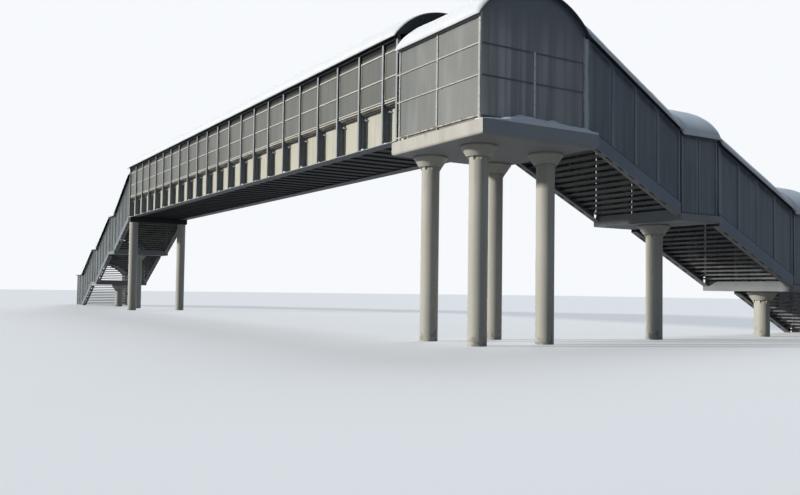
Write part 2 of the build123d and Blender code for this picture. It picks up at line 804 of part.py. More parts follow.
def make_stair_glazing(stair, name):
    """Panes of the flights, the rest landings and the entrance bay, both sides."""
    pane_inset = stair_post_inset + (stair_post - stair_pane_thickness) / 2
    with BuildPart() as panes:
        with BuildSketch(side_plane(stair, pane_inset)):
            for index in range(flight_count):
                start, low, high = flight_wall_lines(index)
                runs = flight_post_runs(index)
                for left, right in zip(runs[:-1], runs[1:]):
                    draw_between(left + stair_post, right, low, high, stair_rail, -corner_beam_height)
            for index in range(flight_count - 1):
                start, end, floor, top = rest_wall_levels(index)
                middle = (start + end - stair_post) / 2
                rows = [(floor + stair_rail, top - corner_beam_height)]
                pane_grid([(start + stair_post, middle), (middle + stair_post, end - stair_post)], rows)
            pane_grid(entrance_columns, [(stair_rail, entrance_beam_top - corner_beam_height)])
        extrude(amount=-stair_pane_thickness)
        mirror(about=middle_plane(stair))
    save(panes, name)


def make_flight_roofs(stair, name):
    """Sloping vaults over the flights, with upright ends and three ribs each."""
    with BuildPart() as roofs:
        for index in range(flight_count):
            start = flight_start(index)[0]
            length = flight_runs[index]
            head, foot = roof_tips(index)
            fall = head - foot
            down = stair.x_dir * length - stair.z_dir * fall
            with BuildSketch(cross_plane(stair, start, head)):
                draw_vault(roof_thickness)
            extrude(amount=hypot(length, fall), dir=down)
            for part_way in (0, 0.5, 1):
                run = start + part_way * (length - rib_width)
                height = head - fall * (run - start) / length
                rib_length = rib_width * hypot(length, fall) / length
                add_ribs([cross_plane(stair, run, height)], amount=rib_length, dir=down)
    save(roofs, name)


def level_roof(stair, start, length, tip, rib_runs):
    """Level vault with ribs, inside an open part."""
    with BuildSketch(cross_plane(stair, start, tip)) as sheet:
        draw_vault(roof_thickness)
    extrude(sheet.sketch, amount=length)
    add_ribs([cross_plane(stair, run, tip) for run in rib_runs], amount=rib_width)


def make_rest_roofs(stair, name):
    """Level vaults over the rest landings."""
    with BuildPart() as roofs:
        for index in range(flight_count - 1):
            start, end, floor, top = rest_wall_levels(index)
            tip = top - rib_seat_rise
            level_roof(stair, start - rest_gap, rest_length, tip, [start, end - rib_width])
    save(roofs, name)


# Level entrance bay at the foot of each stair
entrance_start = stair_run + rest_gap
entrance_end = stair_run + entrance_length
entrance_beam_top = rest_eave_rise + rib_seat_rise
entrance_middle = (entrance_start + entrance_end - entrance_post) / 2
entrance_runs = [entrance_start, entrance_middle, entrance_end - entrance_post]
entrance_columns = [
    (entrance_start + entrance_post, entrance_middle),
    (entrance_middle + entrance_post, entrance_end - entrance_post),
]


def make_entrance_frame(stair, name):
    """Two side frames that stand on the ground at the foot of a stair."""
    with BuildPart() as frame:
        with BuildSketch(side_plane(stair, stair_post_inset)):
            with Locations(*[(run, 0) for run in entrance_runs]):
                Rectangle(entrance_post, entrance_beam_top, align=(Align.MIN, Align.MIN))
            with Locations((entrance_start, 0)):
                Rectangle(entrance_end - entrance_start, stair_rail, align=(Align.MIN, Align.MIN))
            with Locations((entrance_start, entrance_beam_top)):
                Rectangle(entrance_end - entrance_start, corner_beam_height, align=(Align.MIN, Align.MAX))
        extrude(amount=-stair_post)
        mirror(about=middle_plane(stair))
    save(frame, name)


def make_entrance_roof(stair, name):
    """Level vault over an entrance bay, with an open end beyond its last posts."""
    length = entrance_length + roof_overhang
    with BuildPart() as roof:
        level_roof(stair, stair_run, length, rest_eave_rise, [entrance_start, entrance_end - rib_width])
    save(roof, name)


for side, stair in (("near", near_stair), ("far", far_stair)):
    for index, place in enumerate(flight_names):
        make_treads(stair, index, f"{side}_treads_{place}")
    make_stringers(stair, f"{side}_stringers")
    make_stringer_flanges(stair, f"{side}_stringer_flanges")
    make_rest_slabs(stair, f"{side}_rest_slabs")
    make_flight_frames(stair, f"{side}_flight_frames")
    make_rest_frames(stair, f"{side}_rest_frames")
    make_stair_glazing(stair, f"{side}_glazing")
    make_flight_roofs(stair, f"{side}_flight_roofs")
    make_rest_roofs(stair, f"{side}_rest_roofs")
    make_entrance_frame(stair, f"{side}_entrance_frame")
    make_entrance_roof(stair, f"{side}_entrance_roof")
    with BuildPart() as piers:
        for x, y, top in pier_places(stair):
            column(x, y, top)
    save(piers, f"{side}_piers")
    with BuildPart() as pier_capitals:
        for x, y, top in pier_places(stair):
            capital(x, y, top)
    save(pier_capitals, f"{side}_pier_capitals")

# Head beam across the far end, which the girders and the far stair rest on, and its two columns
with BuildPart() as far_head_beam:
    with BuildSketch(Plane.XY.offset(underside_height)):
        with Locations((x_far_head, y_middle)):
            Rectangle(head_beam_width, gallery_width, align=(Align.MIN, Align.CENTER))
    extrude(amount=-head_beam_depth)
    fillet(far_head_beam.faces().sort_by(Axis.Z)[0].edges(), radius=rest_edge_radius)
save(far_head_beam, "far_head_beam")

with BuildPart() as far_columns:
    with BuildSketch(Plane.XY):
        for y in (flange_centre, 2 * y_middle - flange_centre):
            with Locations((x_far_head + head_beam_width / 2, y)):
                Circle(column_radius)
    extrude(amount=underside_height - head_beam_depth)
save(far_columns, "far_columns")
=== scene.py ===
import math

import bpy
import numpy as np
from mathutils import Matrix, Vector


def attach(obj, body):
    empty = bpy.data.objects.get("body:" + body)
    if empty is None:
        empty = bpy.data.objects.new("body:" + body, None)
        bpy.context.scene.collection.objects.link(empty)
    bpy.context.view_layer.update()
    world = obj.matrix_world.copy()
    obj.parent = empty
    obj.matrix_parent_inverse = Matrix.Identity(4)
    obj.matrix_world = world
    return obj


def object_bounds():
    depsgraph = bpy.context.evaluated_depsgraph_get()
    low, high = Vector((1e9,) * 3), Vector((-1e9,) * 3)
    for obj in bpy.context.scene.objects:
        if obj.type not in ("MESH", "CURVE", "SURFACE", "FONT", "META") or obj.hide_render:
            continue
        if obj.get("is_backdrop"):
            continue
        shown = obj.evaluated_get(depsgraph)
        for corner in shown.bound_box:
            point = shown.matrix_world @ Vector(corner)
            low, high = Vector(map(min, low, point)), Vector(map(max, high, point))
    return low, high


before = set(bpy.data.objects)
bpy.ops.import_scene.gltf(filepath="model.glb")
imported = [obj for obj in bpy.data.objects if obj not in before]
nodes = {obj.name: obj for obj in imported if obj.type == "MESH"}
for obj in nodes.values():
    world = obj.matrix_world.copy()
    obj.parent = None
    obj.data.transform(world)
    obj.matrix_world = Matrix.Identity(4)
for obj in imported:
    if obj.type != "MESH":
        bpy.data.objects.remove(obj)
cad_low, cad_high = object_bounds()

# Where the bridge is seen from: low down near the foot of the near stair, looking along the
# span and a little upwards. The direction is given by its bearing from +Y towards -X, its pitch
# and the camera's roll. The lens is given in pixels of the picture.
viewer_place = (21.466, -11.1975, 0.7095)
bearing, pitch, roll = (math.radians(angle) for angle in (58.719, 2.382, 0.786))
picture_width_pixels, focal_length_pixels, lens_rise_pixels = 800, 828.49, 9.02
ahead = np.array([-math.sin(bearing), math.cos(bearing), 0.0])
forward = math.cos(pitch) * ahead + np.array([0.0, 0.0, math.sin(pitch)])
level_right = np.array([math.cos(bearing), math.sin(bearing), 0.0])
level_up = np.cross(level_right, forward)
right = math.cos(roll) * level_right + math.sin(roll) * level_up
up = math.cos(roll) * level_up - math.sin(roll) * level_right
camera = bpy.data.cameras.new("viewer")
camera.sensor_width = 36.0
camera.lens = focal_length_pixels / picture_width_pixels * camera.sensor_width
camera.shift_y = lens_rise_pixels / picture_width_pixels
camera.clip_start, camera.clip_end = 0.1, 400.0
viewer = bpy.data.objects.new("viewer", camera)
turn = np.eye(4)
turn[:3, 0], turn[:3, 1], turn[:3, 2] = right, up, -forward
turn[:3, 3] = viewer_place
viewer.matrix_world = Matrix(turn.tolist())
bpy.context.scene.collection.objects.link(viewer)
bpy.context.scene.camera = viewer
bpy.context.scene.view_settings.view_transform = "Standard"


# Round columns and stair piers: steel tubes under flared capitals, with a chalky cream coat
# brushed on up and down. Dirt has splashed their feet, and a darker, streaky band just below
# the capitals is painted shade.
class Value:
    """A number that varies over a surface. Sums and products of it add Math nodes to a tree."""

    def __init__(self, tree, socket):
        self.tree, self.socket = tree, socket

    def math(self, operation, *terms):
        added = self.tree.nodes.new("ShaderNodeMath")
        added.operation = operation
        for place, term in zip(added.inputs, terms):
            if isinstance(term, Value):
                self.tree.links.new(term.socket, place)
            else:
                place.default_value = term
        return Value(self.tree, added.outputs[0])

    def __add__(self, other):
        return self.math("ADD", self, other)

    def __sub__(self, other):
        return self.math("SUBTRACT", self, other)

    def __rsub__(self, other):
        return self.math("SUBTRACT", other, self)

    def __mul__(self, other):
        return self.math("MULTIPLY", self, other)

    def __abs__(self):
        return self.math("ABSOLUTE", self)

    __radd__, __rmul__ = __add__, __mul__

    def larger(self, other):
        """The larger of two numbers."""
        return self.math("MAXIMUM", self, other)

    def wave(self, length):
        """Sine of the number, with a given length from crest to crest."""
        return self.math("SINE", self * (2 * math.pi / length))

    def within(self, low, high):
        """Smooth step: 0 below low, 1 above high, with an S-shaped rise between them."""
        added = self.tree.nodes.new("ShaderNodeMapRange")
        added.interpolation_type = "SMOOTHSTEP"
        self.tree.links.new(self.socket, added.inputs[0])
        added.inputs[1].default_value, added.inputs[2].default_value = low, high
        return Value(self.tree, added.outputs[0])

    def between(self, low, high, soft=0.001):
        """1 between two limits and 0 outside them, with soft edges."""
        return self.within(low - soft, low) * (1 - self.within(high, high + soft))


class Finish:
    """A material being built up. The surface's own numbers are given once, to coat()."""

    def __init__(self, name):
        self.material = bpy.data.materials.new(name)
        self.material.use_nodes = True
        self.tree = self.material.node_tree
        self.tree.nodes.clear()
        self.place = self.node("ShaderNodeTexCoord", "Object")
        self.x, self.y, self.z = (
            self.node("ShaderNodeSeparateXYZ", axis, {0: self.place}) for axis in range(3))

    def node(self, kind, output=0, links=(), **settings):
        """Any node: its settings first, then its sockets by name or number, then one output."""
        added = self.tree.nodes.new(kind)
        for name, setting in settings.items():
            setattr(added, name, setting)
        for key, term in dict(links).items():
            if isinstance(term, Value):
                self.tree.links.new(term.socket, added.inputs[key])
            else:
                added.inputs[key].default_value = term
        return Value(self.tree, added.outputs[output])

    def slope(self, axis):
        """The part of the surface's normal along an axis, from -1 to 1."""
        normal = self.node("ShaderNodeTexCoord", "Normal")
        return self.node("ShaderNodeSeparateXYZ", axis, {0: normal})

    def facing(self, axis):
        """How squarely the surface faces along an axis, either way: 0 to 1."""
        return abs(self.slope(axis))

    def grain(self, scale, stretch=(1, 1, 1), detail=3.0):
        """Cloudy noise between 0 and 1, denser along an axis whose stretch is larger."""
        where = self.node("ShaderNodeMapping", 0, {"Vector": self.place, "Scale": stretch})
        return self.node("ShaderNodeTexNoise", 0, {"Vector": where, "Scale": scale, "Detail": detail})

    def blend(self, share, first, second):
        """Colour that goes from first to second as share goes from 0 to 1."""
        first = (*first, 1) if isinstance(first, tuple) else first
        second = (*second, 1) if isinstance(second, tuple) else second
        return self.node("ShaderNodeMix", 2, {0: share, 6: first, 7: second}, data_type="RGBA")

    def relief(self, heights, distance, strength):
        """Bump from a height pattern; distance is the height of its steps in metres."""
        links = {"Height": heights, "Distance": distance, "Strength": strength}
        return self.node("ShaderNodeBump", 0, links)

    def coat(self, colour, roughness, normal=None, alpha=None, gloss=0.2):
        """Closes the material with one shader and returns it."""
        links = {"Base Color": colour, "Roughness": roughness, "Specular IOR Level": gloss}
        if normal is not None:
            links["Normal"] = normal
        if alpha is not None:
            links["Alpha"] = alpha
        shader = self.node("ShaderNodeBsdfPrincipled", 0, links)
        out = self.tree.nodes.new("ShaderNodeOutputMaterial")
        self.tree.links.new(shader.socket, out.inputs["Surface"])
        return self.material


def wear(material, *names):
    """Gives CAD nodes their material."""
    for name in names:
        mesh = nodes[name].data
        mesh.materials.clear()
        mesh.materials.append(material)


splash_height, capital_shade_band = 0.4, (2.2, 2.51)
look = Finish("column_paint")
brush = look.grain(30.0, (1, 1, 0.05))
cloud = look.grain(2.2, (1, 1, 0.4), detail=5.0)
splash = 1 - look.z.within(0.0, splash_height)
spots = (look.grain(14.0, detail=5.0) * 0.8 + splash * 0.25).within(0.6, 0.75)
shade = look.blend(cloud.within(0.25, 0.8), (0.53, 0.515, 0.455), (0.60, 0.585, 0.52))
shade = look.blend(brush.within(0.4, 0.8) * 0.25, shade, (0.39, 0.385, 0.36))
shade = look.blend(spots * (splash * 0.6 + 0.05), shade, (0.24, 0.21, 0.18))
# Painted shade: a darker, streaky band just below the capitals.
shade_under_capitals = look.grain(20.0, (1, 1, 0.08)) * look.z.between(*capital_shade_band, soft=0.25)
shade = look.blend(shade_under_capitals.within(0.45, 0.8) * 0.35, shade, (0.30, 0.30, 0.29))
column_paint = look.coat(shade, spots * 0.2 + (brush * 0.2 + 0.45), look.relief(brush + spots, 0.0008, 0.5))
wear(column_paint, "corner_columns", "corner_capitals", "far_columns")
for side in ("near", "far"):
    wear(column_paint, f"{side}_piers", f"{side}_pier_capitals")

# Plate girders: cream webs between blue-grey flanges, with a coped blue-grey stiffener behind
# each post. Welded steel; rain has drawn grey runs down the webs and the lower corners hold soot.
# The stiffeners' sides and the faces looking down carry painted shade. The ledge is the lower
# flange, where the posts stand.
ledge, web_top = 2.9, 3.455
look = Finish("girder_paint")
cloud, fine = look.grain(1.3, detail=4.0), look.grain(40.0)
runs = look.grain(9.0, (1, 1, 0.05), detail=4.0)
cream = look.blend(cloud.within(0.25, 0.8), (0.58, 0.56, 0.47), (0.65, 0.63, 0.54))
cream = look.blend(runs.within(0.48, 0.7) * 0.45, cream, (0.43, 0.41, 0.36))
soot = 1 - look.z.within(ledge, ledge + 0.06)
cream = look.blend(soot * runs.within(0.3, 0.6) * 0.7, cream, (0.27, 0.25, 0.22))
grey = look.blend(cloud.within(0.25, 0.8), (0.37, 0.395, 0.41), (0.44, 0.465, 0.48))
flanges = 1 - look.z.between(ledge, web_top)
shade = look.blend(flanges, cream, grey)
# Painted shade: the stiffeners' sides, facing along X, are darker than their blue-grey paint.
stiffener_side = look.facing(0).within(0.5, 0.7)
side_grey_and_shade = look.blend(runs.within(0.4, 0.8), (0.19, 0.215, 0.24), (0.14, 0.155, 0.175))
shade = look.blend(stiffener_side, shade, side_grey_and_shade)
# Painted shade: faces looking down are painted near black.
underside_shade = 1 - look.slope(2).within(-0.9, -0.6)
shade = look.blend(underside_shade, shade, (0.085, 0.09, 0.1))
specks = (look.grain(13.0, detail=5.0) * 0.8 + flanges * 0.12).within(0.63, 0.7)
shade = look.blend(specks * 0.7, shade, (0.22, 0.12, 0.07))
bump = look.relief(fine + specks * 0.6, 0.001, 0.5)
girder_paint = look.coat(shade, specks * 0.3 + (fine * 0.15 + 0.5), bump)
wear(girder_paint, "girder_front", "girder_back")

# Deck plate on its tee ribs, and the head beam at the far end: welded steel in a near-black
# coat. The plate between the ribs is painted paler, as painted light against the shade there.
plate_band = (2.912, 2.93)
look = Finish("deck_paint")
cloud, fine = look.grain(1.1, detail=5.0), look.grain(45.0)
stain = look.grain(3.0, (1, 0.25, 1), detail=5.0)
shade = look.blend(cloud.within(0.25, 0.8), (0.032, 0.034, 0.038), (0.05, 0.053, 0.06))
shade = look.blend(stain.within(0.5, 0.65) * 0.5, shade, (0.07, 0.062, 0.053))
# Painted light: the plate between the ribs is painted paler to even out the shade there.
shade = look.blend(look.z.between(*plate_band) * 0.75, shade, (0.12, 0.12, 0.125))
deck_paint = look.coat(shade, fine * 0.2 + 0.6, look.relief(fine, 0.001, 0.5), gloss=0.1)
wear(deck_paint, "span_deck", "far_head_beam")

# Gallery wall frames: rolled posts standing on the girders' ledges, cream sill rails, middle
# and top rails, and an eave beam. Grey brushed paint; the posts' sides carry painted shade, and
# the eave beam a near-black band of painted shadow from the roof. The rails lie between two
# distances from the span's middle.
y_middle, eave_underside = -4.1575, 4.4
rail_inner, rail_outer = 0.839, 0.867
look = Finish("gallery_paint")
cloud, fine = look.grain(1.7, detail=4.0), look.grain(45.0)
runs = look.grain(14.0, (1, 1, 0.06), detail=4.0)
grey = look.blend(cloud.within(0.25, 0.8), (0.37, 0.40, 0.42), (0.45, 0.475, 0.49))
cream = look.blend(cloud.within(0.3, 0.7), (0.60, 0.585, 0.52), (0.68, 0.665, 0.60))
rails = abs(look.y - y_middle).between(rail_inner, rail_outer)
shade = look.blend(rails, grey, cream)
shade = look.blend(runs.within(0.55, 0.8) * 0.35, shade, (0.25, 0.25, 0.245))
# Painted shade: the posts' sides, facing along X, are darker than the fronts' grey paint.
side_grey_and_shade = look.blend(runs, (0.21, 0.235, 0.26), (0.13, 0.145, 0.165))
shade = look.blend(look.facing(0).within(0.5, 0.7), shade, side_grey_and_shade)
# Painted shadow: a near-black band on the eave beam, for the roof's shadow.
shade = look.blend(look.z.within(eave_underside - 0.008, eave_underside), shade, (0.022, 0.024, 0.028))
post_foot = 1 - look.z.within(ledge, ledge + 0.08)
specks = (look.grain(15.0, detail=5.0) * 0.8 + post_foot * 0.15).within(0.64, 0.7)
shade = look.blend(specks * 0.7, shade, (0.22, 0.12, 0.07))
bump = look.relief(fine + specks * 0.6, 0.001, 0.5)
gallery_paint = look.coat(shade, specks * 0.3 + (fine * 0.15 + 0.45), bump)
wear(gallery_paint, "gallery_frame_front", "gallery_frame_back")


# Foot plates of the gallery posts: a small plate welded under each post and held to the ledge
# by two bolts, with a clip on the girder's upper flange behind each post. The rails are bolted
# to the posts.
def piece(name, points, faces, material, slot, smooth=False):
    """A mesh object in place, riding on the bridge."""
    mesh = bpy.data.meshes.new(name)
    mesh.from_pydata(points.reshape(-1, 3).tolist(), [], faces.reshape(-1, 4).tolist())
    mesh.materials.append(material)
    mesh.polygons.foreach_set("use_smooth", np.full(len(mesh.polygons), smooth))
    made = bpy.data.objects.new(name, mesh)
    bpy.context.scene.collection.objects.link(made)
    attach(made, "root")


def span_place(run, across, height):
    """Points of the span: run goes along +X, across is measured from its middle towards +Y."""
    return np.stack([run, y_middle + across, height], -1)


def level_bar(start, end, top, depth, edges, hand=1):
    """Row of a level bar for bars(). Its edges lie at two distances from the middle; a hand of
    -1 puts them on the left side instead of the right."""
    left, right = sorted(hand * edge for edge in edges)
    return start, end, top, top, depth, left, right


def bars(name, rows, place, material, slot):
    """Straight bars with upright ends. A row holds start, end, top at start, top at end, depth,
    left and right; the corners are all combinations of an end, an edge and a level."""
    start, end, top_start, top_end, depth, left, right = np.asarray(rows, float).T
    run = np.stack([start, end, end, start] * 2, -1)
    across = np.stack([left, left, right, right] * 2, -1)
    tops = np.stack([top_start, top_end, top_end, top_start], -1)
    points = place(run, across, np.concatenate([tops - depth[:, None], tops], -1))
    sides = np.array(
        [[3, 2, 1, 0], [4, 5, 6, 7], [0, 1, 5, 4], [1, 2, 6, 5], [2, 3, 7, 6], [3, 0, 4, 7]])
    faces = sides + 8 * np.arange(len(start))[:, None, None]
    piece(name, points, faces, material, slot)


def bolt_heads(name, centres, outwards, material, slot, radius, height):
    """Six-sided heads: two rings of six corners, the outer one a little smaller."""
    outwards = np.array(outwards, float)
    first = np.cross(outwards, (0.31, 0.52, 0.80))
    first /= np.linalg.norm(first)
    second = np.cross(outwards, first)
    turns = np.arange(6) * math.pi / 3
    ring = radius * (np.cos(turns)[:, None] * first + np.sin(turns)[:, None] * second)
    head = np.concatenate([ring, 0.9 * ring + height * outwards])
    points = np.asarray(centres, float)[:, None, :] + head
    step = np.arange(6)
    after = (step + 1) % 6
    walls = np.stack([step, after, after + 6, step + 6], -1)
    caps = np.array([[6, 7, 8, 9], [6, 9, 10, 11], [3, 2, 1, 0], [5, 4, 3, 0]])
    faces = np.concatenate([walls, caps]) + 12 * np.arange(len(points))[:, None, None]
    piece(name, points, faces, material, slot)


bay, corner_post_place, end_post_place = 0.75, 10.7625, 11.175
# The posts stand a bay apart, and the last one stands closer.
post_places = np.append(corner_post_place - bay * np.arange(22), end_post_place)
plate_top, plate_edges, clip_top, clip_edges = ledge + 0.006, (0.815, 0.885), 3.5, (0.79, 0.8205)
foot_bolt_line, foot_bolt = 0.868, {"radius": 0.0065, "height": 0.006}
rail_bolt_line, rail_bolt = 0.8652, {"radius": 0.0055, "height": 0.005}
rail_levels = (3.514, 3.549, 4.265)
span_sides = (("front", -1), ("back", 1))
for side, hand in span_sides:
    plates = [
        level_bar(x - 0.036, x + 0.036, plate_top, 0.0055, plate_edges, hand) for x in post_places]
    clips = [
        level_bar(x - 0.016, x + 0.016, clip_top, 0.034, clip_edges, hand) for x in post_places]
    bars(f"post_feet_{side}", plates + clips, span_place, gallery_paint, "gallery_frame_paint")
    feet = [
        (x + shift, y_middle + hand * foot_bolt_line, plate_top)
        for x in post_places for shift in (-0.029, 0.029)]
    bolt_heads(f"post_bolts_{side}", feet, (0, 0, 1), gallery_paint, "gallery_frame_paint", **foot_bolt)
    ends = [
        (x + shift, y_middle + hand * rail_bolt_line, level)
        for x in post_places[:-1] for shift in (-0.035, 0.035) for level in rail_levels]
    bolt_heads(f"rail_bolts_{side}", ends, (0, hand, 0), gallery_paint, "gallery_frame_paint", **rail_bolt)

# Closing strips: folded strips shut the slit between each girder's top and the sill, in a dark
# brown-grey that paints the shade in the slit. Each one reaches from post to post.
look = Finish("slit_shade_paint")
dirt, fine = look.grain(6.0, (1, 1, 0.3), detail=5.0), look.grain(40.0)
# Painted shade: the strips' dark brown-grey stands for the shadow in the slit.
shade = look.blend(dirt.within(0.4, 0.62), (0.075, 0.07, 0.062), (0.15, 0.14, 0.12))
slit_shade_paint = look.coat(shade, fine * 0.2 + 0.6, look.relief(fine, 0.001, 0.4))
in_order = np.sort(post_places)
bays = list(zip(in_order[:-1], in_order[1:]))
strip_top, strip_depth, strip_edges = 3.504, 0.0385, (0.8415, 0.8445)
for side, hand in span_sides:
    rows = [
        level_bar(a + 0.003, b - 0.003, strip_top, strip_depth, strip_edges, hand) for a, b in bays]
    bars(f"sill_closures_{side}", rows, span_place, slit_shade_paint, "gallery_frame_paint")

# Bolts that hold each stiffener's cleat to the girder's web, one beside each post near the top,
# under plastic caps that stand proud of the paint. The caps' near-white is a painted highlight,
# for the spot of sun at the top of each stiffener.
cap_level, web_face, cap_size = 3.39, 0.7495, {"radius": 0.013, "height": 0.055}
look = Finish("highlight_caps")
# Painted highlight: the caps' near-white colour.
shade = look.blend(look.grain(50.0), (0.80, 0.80, 0.78), (0.88, 0.88, 0.86))
highlight_caps = look.coat(shade, look.grain(90.0) * 0.1 + 0.3)
for side, hand in span_sides:
    caps = [(x + 0.078, y_middle + hand * web_face, cap_level) for x in post_places[:-1]]
    bolt_heads(f"stiffener_caps_{side}", caps, (0, hand, 0), highlight_caps, "girder_paint", **cap_size)

# Snow caught on the ledge at the foot of each post: small crusts a few centimetres long, left
# where the wind can't reach them.
dice = np.random.default_rng(7)
look = Finish("snow")
lumps, crystals = look.grain(5.0, detail=4.0), look.grain(180.0)
shade = look.blend(lumps.within(0.3, 0.7), (0.86, 0.90, 0.96), (0.93, 0.94, 0.96))
snow = look.coat(shade, crystals * 0.2 + 0.6, look.relief(lumps * 6.0 + crystals, 0.002, 0.6))
octagon = np.array([[0, 1, 2, 3], [0, 3, 4, 7], [4, 5, 6, 7]])


def crusts(name, centres, sizes):
    """Low lumps with a flat foot: a dome whose radius swells and shrinks round the turn.

    The foot ring is at full radius, and rings above it shrink with the cosine of their rise.
    Eight points make a ring, and the octagon's three faces close the top and the foot.
    """
    rise = np.array([0.0, 0.35, 0.75, 1.15])[None, :, None]
    turns = (np.arange(8) * math.pi / 4)[None, None, :]
    swell = 1 + 0.25 * dice.uniform(-1, 1, (len(centres), 1, 8))
    across = np.cos(rise) * swell
    shape = np.stack([across * np.cos(turns), across * np.sin(turns), np.sin(rise) + 0 * across], -1)
    points = np.asarray(centres)[:, None, None, :] + shape * np.asarray(sizes)[:, None, None, :]
    index = np.arange(32).reshape(4, 8)
    after = np.roll(index, -1, 1)
    walls = np.stack([index[:-1], after[:-1], after[1:], index[1:]], -1).reshape(-1, 4)
    faces = np.concatenate([walls, octagon + 24, octagon[:, ::-1]])
    faces = faces + 32 * np.arange(len(points))[:, None, None]
    piece(name, points, faces, snow, "girder_paint", smooth=True)


smallest, largest = (0.025, 0.013, 0.018), (0.06, 0.022, 0.042)
for side, hand in span_sides:
    beside_post = post_places[:-1] + dice.uniform(0.03, 0.07, len(post_places) - 1)
    count = len(beside_post)
    on_ledge = y_middle + hand * dice.uniform(0.84, 0.87, count)
    places = np.stack([beside_post, on_ledge, np.full(count, ledge)], -1)
    sizes = dice.uniform(smallest, largest, (count, 3))
    crusts(f"ledge_snow_{side}", places, sizes)


# Gallery panes: two sheets of smoked plastic in each bay, nearly opaque with age. Fine flutes
# run up and down in them, and rain has streaked them with dirt.
def sheeting(name, colour, dirt, alpha, patch=0.55):
    """Smoked sheet with fine upright flutes: its finish, colour, roughness, bump and alpha."""
    look = Finish(name)
    cloud = look.grain(1.1, detail=4.0)
    runs = look.grain(11.0, (1, 1, 0.04), detail=5.0)
    film = look.grain(3.0, (1, 1, 0.3))
    flutes = (look.x + look.y).wave(0.012)
    shade = look.blend(cloud.within(0.2, 0.8), tuple(0.8 * c for c in colour), colour)
    shade = look.blend(runs.within(0.44, 0.66) * patch, shade, dirt)
    shade = look.blend(flutes * 0.03 + 0.03, shade, tuple(1.6 * c for c in colour))
    bump = look.relief(flutes * 0.3 + look.grain(16.0, (1, 1, 0.15)), 0.0008, 0.35)
    return look, shade, film * 0.25 + 0.25, bump, (1 - film.within(0.35, 0.8) * 0.08) * alpha


smoke, streak = (0.198, 0.205, 0.19), (0.14, 0.145, 0.135)
look, shade, rough, bump, alpha = sheeting("gallery_sheet", smoke, streak, 0.96)
wear(look.coat(shade, rough, bump, alpha), "gallery_glazing_front", "gallery_glazing_back")

# Narrow strips of the same sheet close the gap above the top rail. They are painted black under
# the eave, as the eave's shadow, and clearer towards the rail.
strip_depth, strip_edges, eave_shadow_levels = 0.125, (0.848, 0.852), (4.285, 4.365)
look = Finish("eave_sheet")
# Painted shadow: the strips go black towards the eave, for the eave's shadow.
eave_shadow_edge = look.z + look.grain(9.0, (1, 1, 0.2)) * 0.03
shade = look.blend(eave_shadow_edge.within(*eave_shadow_levels), (0.17, 0.165, 0.145), (0.014, 0.015, 0.017))
eave_sheet = look.coat(shade, look.grain(4.0) * 0.2 + 0.4, gloss=0.1)
for side, hand in span_sides:
    rows = [
        level_bar(a + 0.003, b - 0.003, eave_underside, strip_depth, strip_edges, hand)
        for a, b in bays]
    bars(f"eave_strips_{side}", rows, span_place, eave_sheet, "glazing")

# Rubber gaskets clamp each gallery pane against the rails, and a thin painted bead runs down
# near each edge of a bay, from the top rail to the sill.
gallery_levels = ((3.558, 3.88), (3.90, 4.255))
gasket_width, gasket_edges, bead_width, bead_edges = 0.007, (0.8515, 0.8605), 0.012, (0.8615, 0.8645)
look = Finish("gasket")
rubber_grain = look.grain(60.0)
shade = look.blend(rubber_grain, (0.035, 0.037, 0.04), (0.06, 0.062, 0.065))
gasket = look.coat(shade, rubber_grain * 0.2 + 0.6)


def pane_gaskets(panes, width, edges, hand):
    """Rows of bars that frame each pane, given by its left, right, low and high edges."""
    rows = []
    for left, right, low, high in panes:
        upright = high - low - 2 * width
        for top in (low + width, high):
            rows.append(level_bar(left, right, top, width, edges, hand))
        for start in (left, right - width):
            rows.append(level_bar(start, start + width, high - width, upright, edges, hand))
    return rows


gallery_panes = [
    (a + 0.002, b - 0.002, low, high) for a, b in bays for low, high in gallery_levels]
panes_foot, panes_top = gallery_levels[0][0], gallery_levels[1][1]
bead_length = panes_top - panes_foot
for side, hand in span_sides:
    rows = pane_gaskets(gallery_panes, gasket_width, gasket_edges, hand)
    bars(f"gallery_gaskets_{side}", rows, span_place, gasket, "glazing")
    rows = [
        level_bar(start, start + bead_width, panes_top, bead_length, bead_edges, hand)
        for a, b in bays for start in (a + 0.03, b - 0.03 - bead_width)]
    bars(f"pane_beads_{side}", rows, span_place, gallery_paint, "gallery_frame_paint")

# Vaulted roofs of the gallery, the landing and the stairs: dark sheet bent over arched ribs and
# clipped to them. The panel over the stair head is cut from the same sheet.
look = Finish("roof_sheet")
cloud, fine = look.grain(1.3, detail=4.0), look.grain(38.0)
shade = look.blend(cloud.within(0.25, 0.8), (0.045, 0.05, 0.058), (0.07, 0.078, 0.09))
runs = look.grain(7.0, (1, 1, 0.2), detail=5.0)
shade = look.blend(runs.within(0.55, 0.8) * 0.5, shade, (0.10, 0.10, 0.10))
roof_sheet = look.coat(shade, fine * 0.2 + 0.4, look.relief(fine, 0.001, 0.4))
wear(roof_sheet, "gallery_roof", "corner_roof", "stair_head_panel")
for side in ("near", "far"):
    wear(roof_sheet, f"{side}_flight_roofs", f"{side}_rest_roofs", f"{side}_entrance_roof")

# Crescent panels that close the step at the gallery's ends: steel cut to the arc, matt black,
# with paler scuffs along the cut edge.
look = Finish("panel_paint")
cloud, scuffs = look.grain(2.0, detail=4.0), look.grain(26.0, (1, 1, 0.4), detail=5.0)
shade = look.blend(cloud.within(0.3, 0.7), (0.016, 0.018, 0.021), (0.028, 0.031, 0.036))
shade = look.blend(scuffs.within(0.58, 0.7) * 0.5, shade, (0.09, 0.09, 0.095))
panel_paint = look.coat(shade, scuffs * 0.2 + 0.5, look.relief(scuffs, 0.0008, 0.4), gloss=0.1)
wear(panel_paint, "gallery_end_panels")


